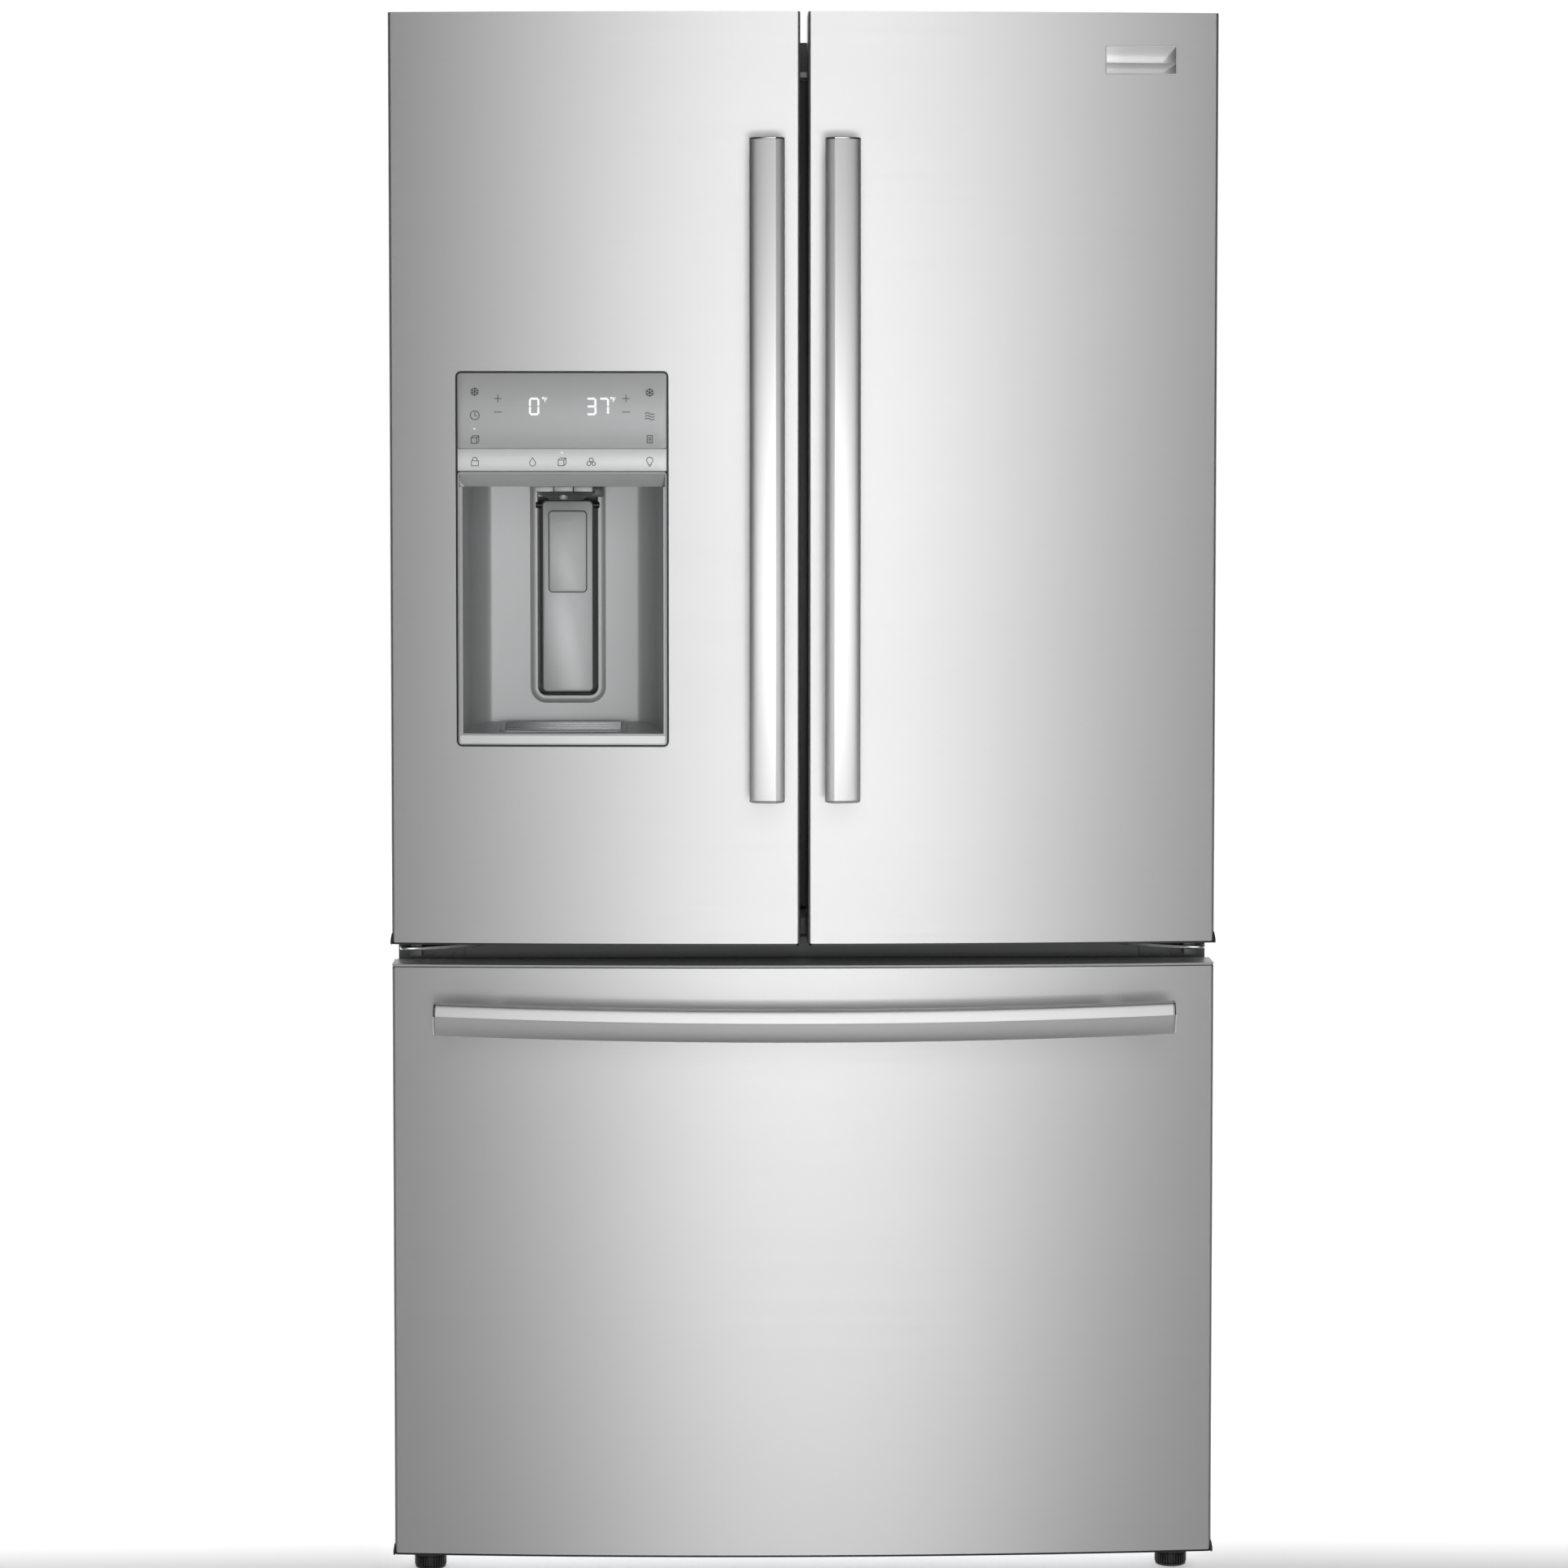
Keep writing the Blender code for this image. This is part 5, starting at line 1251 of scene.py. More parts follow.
def makePaddle():
    # A frame round the paddle, the paddle itself and its touch pad; black bands and a black sheet in the
    # gaps round them are painted shade
    shape = dispenserShape
    half = shape["channelHalf"]
    lowZ, highZ = shape["channelZ"]
    back = shape["backY"]
    bm = bmesh.new()
    profile = [(-0.0050, 0.0), (-0.0035, -0.0016), (-0.0012, -0.0030), (0.0010, -0.0034), (0.0032, -0.0032),
               (0.0040, -0.0022), (0.0040, 0.0120), (0.0, 0.0120), (0.0, 0.0)]
    addRing(bm, paddleMid - half, paddleMid + half, lowZ, highZ + 0.03, 0.013,
            [(inset, back + depth) for inset, depth in profile], 8)
    bmesh.ops.bisect_plane(bm, geom=bm.verts[:] + bm.edges[:] + bm.faces[:], plane_co=(0, 0, 1.2262),
                           plane_no=(0, 0, 1), dist=0.00001, clear_outer=True)
    bmesh.ops.holes_fill(bm, edges=[edge for edge in bm.edges if edge.is_boundary], sides=0)
    settle("paddle_surround", bm, "recess", "left_door")
    # A black sheet at the back of the channel behind the paddle: painted shade of the gap round it
    bm = bmesh.new()
    addBox(bm, (paddleMid - half + 0.0042, shape["channelY"] - 0.0016, lowZ + 0.0042),
           (paddleMid + half - 0.0042, shape["channelY"] - 0.0004, 1.2130), 0.0004, 1)
    settle("paddle_cavity", bm, "black", "left_door")

    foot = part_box("dispenser_paddle")[0][2]
    axisY, axisZ = paddleShape["axis"]
    faceY = paddleShape["faceY"]
    wide = paddleShape["half"]
    bm = bmesh.new()
    addPad(bm, paddleMid - wide + 0.0012, paddleMid + wide - 0.0012, foot + 0.0012, axisZ + 0.0040, 0.0046,
           faceY - 0.0002, faceY + 0.0043, 0.0005)
    settle("paddle_plate", bm, "paddleGrey", "paddle", ("dispenser_paddle",))
    # A black band round the paddle's edge, painted shade of its gap, with the axle
    bm = bmesh.new()
    addRing(bm, paddleMid - wide, paddleMid + wide, foot, axisZ + 0.0052, 0.0055,
            [(0.0, faceY + 0.0045), (0.0, faceY + 0.0006), (0.0003, faceY + 0.0002),
             (0.0013, faceY + 0.0002),
             (0.0013, faceY + 0.0045)], 6)
    axle = bmesh.new()
    addTurned(axle, [(0.0, -0.0354), (0.0030, -0.0354), (0.0034, -0.0350), (0.0034, 0.0350),
                     (0.0030, 0.0354),
                     (0.0, 0.0354)], (paddleMid, axisY, axisZ), "X", 20)
    copyInto(bm, axle)
    settle("paddle_edge", bm, "black", "paddle")
    bm = bmesh.new()
    pad = (paddleMid - paddleShape["padHalf"], paddleMid + paddleShape["padHalf"], *paddleShape["padZ"])
    addPad(bm, *pad, 0.0038, faceY - 0.0028, faceY - 0.0001, 0.0005)
    settle("paddle_touch_pad", bm, "nozzleGrey", "paddle")
    # A black band round the touch pad's base: painted shade of its gap
    bm = bmesh.new()
    addRing(bm, pad[0] - 0.0010, pad[1] + 0.0010, pad[2] - 0.0010, pad[3] + 0.0010, 0.0048,
            [(0.0, faceY), (0.0, faceY - 0.0016), (0.0003, faceY - 0.0019), (0.0011, faceY - 0.0019),
             (0.0011, faceY)], 6)
    settle("paddle_pad_edge", bm, "black", "paddle")
    print("dispenser paddle made")


trayShape = {"half": 0.0700, "front": -0.3480, "back": -0.2720, "slats": 7, "slatWidth": 0.0050,
             "margin": 0.009}


def makeDripTray():
    # A dished tray with a slatted grille, and the light lip in front of it
    shape = dispenserShape
    half, front, back = trayShape["half"], trayShape["front"], trayShape["back"]
    bm = bmesh.new()
    rings = []
    for inset, height in ((0.0, 0.0002), (0.0006, 0.0019), (0.0018, 0.0024), (0.0046, 0.0024),
                          (0.0058, 0.0018),
                          (0.0064, 0.0004), (0.0, 0.0002)):
        rings.append([(u, v, height) for u, v in roundedRectangle(
            dispenserMid - half + inset, dispenserMid + half - inset, front + inset, back - inset,
            0.010 - inset, 6)])
    joinRings(bm, rings, capFirst=False, capLast=False)
    for vert in bm.verts:
        vert.co.z += floorHeight(vert.co.y)
    settle("drip_tray_rim", bm, "recess", "left_door", ("drip_tray",))

    slat = bmesh.new()
    wide, deep = half - 0.0068, trayShape["slatWidth"] / 2
    addBox(slat, (-wide, -deep, 0.0), (wide, deep, 0.0016), 0.0006, 2)
    count = trayShape["slats"]
    start = front + trayShape["margin"]
    pitch = (back - front - 2 * trayShape["margin"]) / (count - 1)
    grow("drip_tray_slats", "row", slat, "traySteel", "left_door", "satin_metal", Count=count,
         First=(dispenserMid, start, floorHeight(start) + 0.0006),
         Step=(0.0, pitch, floorHeight(start + pitch) - floorHeight(start)))

    bm = bmesh.new()
    x0, x1 = dispenserLow[0] + 0.0040, dispenserHigh[0] - 0.0040
    outline = [(-0.0006, dispenserLow[2] + 0.0026), (-0.0006, shape["floorFront"] - 0.0012),
               (0.0004, shape["floorFront"] + 0.0002), (0.0040, shape["floorFront"] + 0.0009),
               (0.0100, shape["floorFront"] + 0.0006), (0.0100, dispenserLow[2] + 0.0026)]
    addPrism(bm, outline, x0, x1, "X")
    bendToFront(bm, 0.0, 0.012)
    settle("drip_lip", bm, "lipGrey", "left_door")
    print("drip tray made")


# Hinges

hingeShape = {"x": 0.4265, "y": -0.3215, "coverEdge": 0.0042, "coverFront": -0.2795, "coverCorner": 0.0075,
              "armHalf": 0.0100, "armTop": 1.7368, "coverScrewX": (0.388, 0.4285), "coverScrewY": -0.218,
              "plateZ": (0.7162, 0.7190)}


def hexScrew(radius=0.0034, height=0.0026, axis="Y", sign=1):
    # A small screw with a hexagon head on a round flange
    bm = bmesh.new()
    addTurned(bm, [(0.0, 0.0), (radius * 1.45, 0.0), (radius * 1.45, sign * height * 0.22),
                   (radius * 1.05, sign * height * 0.36), (0.0, sign * height * 0.36)], (0, 0, 0), axis, 16)
    head = bmesh.new()
    addTurned(head, [(0.0, sign * height * 0.30), (radius, sign * height * 0.30),
                     (radius, sign * height * 0.86),
                     (radius * 0.84, sign * height), (radius * 0.50, sign * height),
                     (radius * 0.44, sign * height * 0.80), (0.0, sign * height * 0.80)], (0, 0, 0), axis, 6)
    copyInto(bm, head)
    return bm


def makeHinges():
    for side, label in ((-1, "left"), (1, "right")):
        a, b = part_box("hinge_cover_" + label)
        edge = hingeShape["coverEdge"]
        xs = sorted((side * 0.370, side * 0.4480))
        front, corner = hingeShape["coverFront"], hingeShape["coverCorner"]
        bm = bmesh.new()
        rings = []
        for inset, z in ((0.0, a[2]), (0.0, b[2] - edge), (edge * 0.13, b[2] - edge * 0.5),
                         (edge * 0.5, b[2] - edge * 0.13), (edge, b[2])):
            outline = roundedRectangle(xs[0] + inset, xs[1] - inset, front + inset, b[1] - inset,
                                       corner - inset * 0.8, 8)
            rings.append([(u, v, z) for u, v in outline])
        joinRings(bm, rings)
        reach = bmesh.new()
        x = side * hingeShape["x"]
        y, half = hingeShape["y"], hingeShape["armHalf"]
        arm = [(x - half, front + 0.0075), (x + half, front + 0.0075)] + circlePoints(x, y, half, 12, 0,
                                                                                      -180)
        addPrism(reach, arm, a[2] + 0.0048, hingeShape["armTop"])
        copyInto(bm, reach)
        settle("hinge_shroud_" + label, bm, "greyPlastic", "cabinet",
               ("hinge_cover_" + label,))
        bm = bmesh.new()
        screwXs = [side * screwX for screwX in hingeShape["coverScrewX"]]
        screwY = hingeShape["coverScrewY"]
        for screwX in screwXs:
            dish = bmesh.new()
            addTurned(dish, [(0.0, b[2] - 0.0006), (0.0046, b[2] - 0.0006), (0.0052, b[2] + 0.0006),
                             (0.0062, b[2] + 0.0009), (0.0070, b[2] + 0.0002), (0.0070, b[2] - 0.001),
                             (0.0, b[2] - 0.001)], (screwX, screwY, 0.0), "Z", 24)
            copyInto(bm, dish)
        settle("hinge_shroud_rims_" + label, bm, "greyPlastic", "cabinet")
        grow("hinge_shroud_screws_" + label, "spots", hexScrew(0.0026, 0.0016, "Z"), "zinc", "cabinet",
             "zinc_steel",
             spots=[(screwX, screwY, b[2] - 0.0006) for screwX in screwXs])

        node = "centre_hinge_" + label
        a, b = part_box(node)
        z0, z1 = hingeShape["plateZ"]
        back = b[1]
        plan = [(side * 0.4450, back), (side * 0.4450, -0.3270)]
        for t in (22.5, 45, 67.5, 90):
            plan.append((side * (0.4450 - 0.0075 * (1 - math.cos(math.radians(t)))),
                         -0.3270 - 0.0075 * math.sin(math.radians(t))))
        start, end = (0.4300, -0.3345), (0.3560, -0.2960)
        plan += [(side * (start[0] + (end[0] - start[0]) * i / 10),
                  start[1] + (end[1] - start[1]) * (i / 10) ** 1.35) for i in range(11)]
        plan += [(side * 0.3500, -0.2900), (side * 0.3500, back)]
        bm = bmesh.new()
        lower, upper = addPrism(bm, plan, z0, z1)
        rims = [bm.edges.get(pair) for ring in (lower, upper) for pair in zip(ring[1:-2], ring[2:-1])]
        bmesh.ops.bevel(bm, geom=rims, offset=0.0006, segments=2, profile=0.5, affect="EDGES")
        settle(node + "_plate", bm, "hingeBright", "cabinet", (node,))
        bm = bmesh.new()
        xs = sorted((side * 0.375, side * 0.445))
        addBox(bm, (xs[0], back - 0.0024, 0.6965), (xs[1], back, 0.7225), 0.0006, 2)
        settle(node + "_flange", bm, "cabinet", "cabinet")
        bm = bmesh.new()
        x, y = side * hingeShape["x"], hingeShape["y"]
        addBox(bm, (x - 0.0066, y - 0.0098, z1 - 0.0004), (x + 0.0066, y + 0.0070, 0.7232), 0.0016, 3)
        addBox(bm, (x - 0.0066, y - 0.0098, 0.7082), (x + 0.0066, y + 0.0070, z0 + 0.0004), 0.0014, 3)
        settle(node + "_stop", bm, "capGrey", "cabinet")
        bm = bmesh.new()
        addTurned(bm, [(0.0, 0.7220), (0.0040, 0.7220), (0.0040, 0.7420), (0.0034, 0.7430), (0.0, 0.7430)],
                  (x, y, 0.0), "Z", 24)
        settle(node + "_pin", bm, "hingeBright", "cabinet")
        grow(node + "_screws", "spots", hexScrew(0.0036, 0.0018, "Y", -1), "cabinet", "cabinet",
             "zinc_steel",
             spots=[(side * screwX, back - 0.0024, 0.7040) for screwX in (0.3860, 0.4080, 0.4360)])
    print("hinges made")


# Fresh food space

foodShape = {"half": 0.4020, "back": 0.3300, "top": 1.6760, "binFront": -0.1250,
             "filter": (0.335, 0.030, 1.625)}


def makeShelves():
    for name in ("upper_shelf", "middle_shelf"):
        a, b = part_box(name)
        bm = bmesh.new()
        outline = [(a[1] - 0.0050, a[2] - 0.0046), (a[1] - 0.0062, a[2] + 0.0010),
                   (a[1] - 0.0052, b[2] + 0.0024),
                   (a[1] - 0.0016, b[2] + 0.0036), (a[1] + 0.0100, b[2] + 0.0022),
                   (a[1] + 0.0104, b[2] + 0.0003),
                   (a[1] - 0.0003, b[2] + 0.0003), (a[1] - 0.0003, a[2] - 0.0003),
                   (a[1] + 0.0104, a[2] - 0.0003),
                   (a[1] + 0.0100, a[2] - 0.0034)]
        addPrism(bm, outline, a[0] + 0.012, b[0] - 0.012, "X")
        settle(name + "_trim", bm, "trimSatin", "cabinet")
        bm = bmesh.new()
        for side in (-1, 1):
            xs = sorted((side * (b[0] - 0.0003), side * (b[0] - 0.0125)))
            addBox(bm, (xs[0], a[1] - 0.0055, b[2] + 0.0003), (xs[1], b[1] - 0.002, b[2] + 0.0034), 0.0012,
                   2)
        addBox(bm, (a[0] + 0.013, b[1] - 0.008, b[2] + 0.0003),
               (b[0] - 0.013, b[1] - 0.0005, b[2] + 0.0075), 0.0014, 2)
        settle(name + "_frame", bm, "linerGrey", "cabinet")
    a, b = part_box("crisper_deck")
    bm = bmesh.new()
    outline = [(a[1] - 0.0090, b[2] - 0.0150), (a[1] - 0.0100, b[2] - 0.0060),
               (a[1] - 0.0086, b[2] + 0.0020),
               (a[1] - 0.0040, b[2] + 0.0034), (a[1] + 0.0140, b[2] + 0.0024),
               (a[1] + 0.0140, b[2] + 0.0003),
               (a[1] - 0.0010, b[2] + 0.0003), (a[1] - 0.0010, b[2] - 0.0150)]
    addPrism(bm, outline, -foodShape["half"] + 0.010, foodShape["half"] - 0.010, "X")
    settle("crisper_deck_trim", bm, "trimSatin", "cabinet")
    bm = bmesh.new()
    addBox(bm, (-0.370, a[1] + 0.020, b[2] + 0.0002), (-0.008, b[1] - 0.02, b[2] + 0.0018), 0.0008, 2)
    addBox(bm, (0.008, a[1] + 0.020, b[2] + 0.0002), (0.370, b[1] - 0.02, b[2] + 0.0018), 0.0008, 2)
    settle("crisper_deck_glass", bm, "glass", "cabinet")
    print("shelf trims made")


def drawerFront(name, body, x0, x1, z0, z1):
    # The moulded face of a bin, with a grip along its top and a window below
    front = foodShape["binFront"]
    bm = bmesh.new()
    addPad(bm, x0, x1, z0, z1, 0.010, front - 0.0050, front - 0.0003, 0.0012, 6)
    settle(name + "_face", bm, "clearFront", body)
    bm = bmesh.new()
    outline = [(front - 0.0052, z1 - 0.030), (front - 0.0086, z1 - 0.026), (front - 0.0092, z1 - 0.009),
               (front - 0.0078, z1 - 0.004), (front - 0.0050, z1 - 0.0025)]
    addPrism(bm, outline, x0 + 0.008, x1 - 0.008, "X")
    settle(name + "_grip", bm, "trimSatin", body)
    bm = bmesh.new()
    addRing(bm, x0 + 0.006, x1 - 0.006, z0 + 0.006, z1 - 0.034, 0.008,
            [(0.0, front - 0.0049), (0.0004, front - 0.0060), (0.0022, front - 0.0060),
             (0.0026, front - 0.0049)], 6)
    settle(name + "_border", bm, "linerGrey", body)


def makeInnerDrawers():
    for label in ("left", "right"):
        node = "crisper_" + label
        a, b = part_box(node)
        x0, x1 = (a[0] + 0.004, b[0] - 0.006) if label == "left" else (a[0] + 0.006, b[0] - 0.004)
        drawerFront(node, label + "_crisper", x0, x1, a[2] + 0.002, b[2] - 0.004)
    a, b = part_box("deli_drawer")
    drawerFront("deli_drawer", "deli", a[0] + 0.001, b[0] - 0.001, a[2] + 0.001, b[2] - 0.001)
    rib = bmesh.new()
    addBox(rib, (-0.0012, -0.150, -0.0008), (0.0012, 0.150, 0.0012), 0.0004, 1)
    for label in ("left", "right"):
        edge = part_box("crisper_" + label)[0][0]
        grow("crisper_floor_ribs_" + label, "row", rib.copy(), "clearFront", label + "_crisper",
             "clear_plastic",
             Count=9, First=(edge + 0.05, 0.045, 0.8890), Step=(0.036, 0.0, 0.0))
    rib.free()
    print("inner drawers made")


def makeFoodDetails():
    half, back, top = foodShape["half"], foodShape["back"], foodShape["top"]
    bm = bmesh.new()
    addPad(bm, -0.105, 0.105, 1.075, 1.440, 0.020, back - 0.016, back - 0.0004, 0.005, 8)
    settle("air_tower", bm, "liner", "cabinet")
    # Dark grey bars on the tower face stand in for its vent slots: painted shade of the openings
    slot = bmesh.new()
    addBox(slot, (-0.032, back - 0.0175, -0.0024), (0.032, back - 0.0155, 0.0024), 0.0009, 2)
    heights = [1.100 + 0.016 * i for i in range(7)] + [1.270 + 0.016 * i for i in range(9)]
    spots = [(x, 0.0, z) for x in (-0.052, 0.052) for z in heights]
    grow("air_tower_slots", "spots", slot, "dishAndSlotShadeGrey", "cabinet", "grey_plastic", spots=spots)
    bm = bmesh.new()
    addBox(bm, (-0.085, -0.060, top - 0.0110), (0.300, 0.000, top - 0.0004), 0.004, 3)
    settle("ceiling_lamp_housing", bm, "liner", "cabinet")
    bm = bmesh.new()
    addBox(bm, (-0.078, -0.054, top - 0.0128), (0.293, -0.006, top - 0.0104), 0.0012, 2)
    settle("ceiling_lamp_lens", bm, "lamp", "cabinet")
    for side, label in ((-1, "left"), (1, "right")):
        xs = sorted((side * (half - 0.0003), side * (half - 0.0060)))
        bm = bmesh.new()
        addBox(bm, (xs[0], -0.236, 0.900), (xs[1], -0.214, 1.640), 0.0022, 3)
        settle("side_lamp_" + label, bm, "lamp", "cabinet")
    rib = bmesh.new()
    addBox(rib, (-0.0035, -0.0016, -0.105), (0.0035, 0.0, 0.105), 0.0014, 2)
    spots = [(x, back - 0.0002, 1.560) for x in (-0.08, 0.0, 0.08, 0.16, 0.24)]
    spots += [(side * x, back - 0.0002, 1.325) for side in (-1, 1) for x in (0.17, 0.25, 0.33)]
    grow("rear_wall_ribs", "spots", rib, "liner", "cabinet", "white_liner", spots=spots)

    a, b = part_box("ice_maker")
    bm = bmesh.new()
    addPad(bm, a[0] + 0.004, b[0] - 0.004, a[2] + 0.004, b[2] - 0.004, 0.010, a[1] - 0.0060, a[1] + 0.001,
           0.0022, 6)
    settle("ice_maker_door", bm, "liner", "cabinet")
    bm = bmesh.new()
    addRing(bm, a[0] + 0.020, b[0] - 0.020, a[2] + 0.018, b[2] - 0.018, 0.012,
            [(0.0, a[1] - 0.0058), (0.0006, a[1] - 0.0076), (0.0026, a[1] - 0.0076),
             (0.0032, a[1] - 0.0058)], 6)
    addBox(bm, (b[0] - 0.052, a[1] - 0.0098, a[2] + 0.080), (b[0] - 0.030, a[1] - 0.0056, a[2] + 0.130),
           0.0020, 3)
    settle("ice_maker_trim", bm, "linerGrey", "cabinet")
    # Dark grey bars on the ice maker door stand in for its vent slits: painted shade of the openings
    slitShade = bmesh.new()
    addBox(slitShade, (-0.028, -0.0010, -0.0016), (0.028, 0.0006, 0.0016), 0.0005, 1)
    grow("ice_maker_vents", "row", slitShade, "dishAndSlotShadeGrey", "cabinet", "grey_plastic", Count=6,
         First=(a[0] + 0.085, a[1] - 0.0058, a[2] + 0.060), Step=(0.0, 0.0, 0.008))

    x, y, z = foodShape["filter"]
    bm = bmesh.new()
    addTurned(bm, [(0.0, -0.1222), (0.0260, -0.1222), (0.0300, -0.1206), (0.0316, -0.1180), (0.0, -0.1180)],
              (x, y, z), "Y", 36)
    addBox(bm, (x - 0.0045, y - 0.1262, z - 0.022), (x + 0.0045, y - 0.1210, z + 0.022), 0.0014, 2)
    settle("water_filter_grip", bm, "linerGrey", "cabinet")
    rib = bmesh.new()
    addBox(rib, (-0.0006, -0.0012, -0.022), (0.0010, 0.0012, 0.022), 0.0004, 1)
    turned = Matrix.Translation((x, y - 0.0900, z)) @ Matrix.Rotation(math.pi / 2, 4, "X")
    grow("water_filter_ribs", "ring", rib, "greyPlastic", "cabinet", "grey_plastic", Count=32, Radius=0.0362,
         Centre=(0.0, 0.0, 0.0), place=turned)
    print("fresh food details made")


def makeDoorBins():
    for side, label in ((-1, "left"), (1, "right")):
        body = label + "_door"
        for level in ("upper", "lower"):
            a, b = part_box(label + "_" + level + "_bin")
            bm = bmesh.new()
            front = b[1]
            outline = [(front - 0.0030, b[2] - 0.020), (front + 0.0010, b[2] - 0.0190),
                       (front + 0.0022, b[2] - 0.0110),
                       (front + 0.0014, b[2] - 0.0010), (front - 0.0012, b[2] + 0.0010),
                       (front - 0.0034, b[2] - 0.0004)]
            addPrism(bm, outline, a[0] + 0.001, b[0] - 0.001, "X")
            settle(label + "_" + level + "_bin_band", bm, "trimSatin", body)
            bm = bmesh.new()
            for z in (a[2] + 0.012, a[2] + 0.024):
                addBox(bm, (a[0] + 0.010, front - 0.0008, z - 0.0012),
                       (b[0] - 0.010, front + 0.0012, z + 0.0012),
                       0.0005, 1)
            settle(label + "_" + level + "_bin_lines", bm, "clearFront", body)
        knob = bmesh.new()
        addBox(knob, (-0.0026, -0.0070, -0.0090), (0.0026, 0.0070, 0.0090), 0.0018, 2)
        heights = [0.905 + 0.045 * i for i in range(12)]
        spots = [(side * x, -0.2570, z) for x in (0.0690, 0.3820) for z in heights]
        grow(label + "_bin_hooks", "spots", knob, "liner", body, "white_liner", spots=spots)
    print("door bins made")


# Freezer

freezerShape = {"coverY": 0.2620, "grilleX": 0.0, "grilleZ": 0.560, "rings": 5, "ringPitch": 0.011,
                "ringFirst": 0.012}


def makeFreezer():
    y = freezerShape["coverY"]
    # Dark grey bars on the evaporator cover stand in for its air slots: painted shade of the openings
    slot = bmesh.new()
    addBox(slot, (-0.055, y - 0.0016, -0.0030), (0.055, y + 0.0004, 0.0030), 0.0009, 2)
    spots = [(x, 0.0, z) for x in (-0.27, -0.13, 0.13, 0.27) for z in [0.350 + 0.014 * i for i in range(6)]]
    grow("evaporator_cover_slots", "spots", slot, "dishAndSlotShadeGrey", "cabinet", "grey_plastic", spots=spots)
    bm = bmesh.new()
    for i in range(freezerShape["rings"]):
        radius = freezerShape["ringFirst"] + freezerShape["ringPitch"] * i
        ring = bmesh.new()
        addTurned(ring, [(radius - 0.0013, y - 0.0004), (radius - 0.0013, y - 0.0034),
                         (radius + 0.0013, y - 0.0034),
                         (radius + 0.0013, y - 0.0004), (radius - 0.0013, y - 0.0004)],
                  (freezerShape["grilleX"], 0.0, freezerShape["grilleZ"]), "Y", 48)
        copyInto(bm, ring)
    settle("evaporator_grille_rings", bm, "liner", "cabinet")
    spoke = bmesh.new()
    addBox(spoke, (-0.022, -0.0011, -0.0014), (0.022, 0.0011, 0.0014), 0.0004, 1)
    turned = Matrix.Translation((freezerShape["grilleX"], y - 0.0019, freezerShape["grilleZ"])) @ \
        Matrix.Rotation(math.pi / 2, 4, "X")
    grow("evaporator_grille_spokes", "ring", spoke, "liner", "cabinet", "white_liner", Count=12,
         Radius=0.034,
         Centre=(0.0, 0.0, 0.0), place=turned)

    a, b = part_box("freezer_basket")
    slot = bmesh.new()
    addBox(slot, (-0.0042, -0.0006, -0.110), (0.0042, 0.0008, 0.110), 0.0004, 1)
    count = 26
    grow("basket_front_ribs", "row", slot, "liner", "freezer_drawer", "white_liner", Count=count,
         First=(a[0] + 0.045, a[1] - 0.0006, 0.270), Step=((b[0] - a[0] - 0.09) / (count - 1), 0.0, 0.0))
    side = bmesh.new()
    addBox(side, (-0.0008, -0.0042, -0.110), (0.0008, 0.0042, 0.110), 0.0004, 1)
    for sign, label in ((-1, "left"), (1, "right")):
        grow("basket_side_ribs_" + label, "row", side.copy(), "liner", "freezer_drawer", "white_liner",
             Count=14,
             First=(sign * 0.3524, a[1] + 0.040, 0.270), Step=(0.0, 0.0275, 0.0))
    side.free()
    a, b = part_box("freezer_tray")
    bm = bmesh.new()
    outline = [(a[1] + 0.0022, b[2] - 0.024), (a[1] - 0.0030, b[2] - 0.020), (a[1] - 0.0036, b[2] - 0.008),
               (a[1] - 0.0016, b[2] + 0.0006), (a[1] + 0.0030, b[2] + 0.0006)]
    addPrism(bm, outline, a[0] + 0.012, b[0] - 0.012, "X")
    settle("freezer_tray_grip", bm, "trimSatin", "upper_tray")
    grow("drawer_frame_screws", "spots", hexScrew(0.0036, 0.0026, "Y", 1), "zinc", "freezer_drawer",
         "zinc_steel",
         spots=[(x, -0.2800, 0.435) for x in (-0.31, -0.20, 0.20, 0.31)])
    print("freezer details made")


# Base

footShape = {"x": 0.420, "y": -0.222, "radius": 0.0185, "knurls": 36}


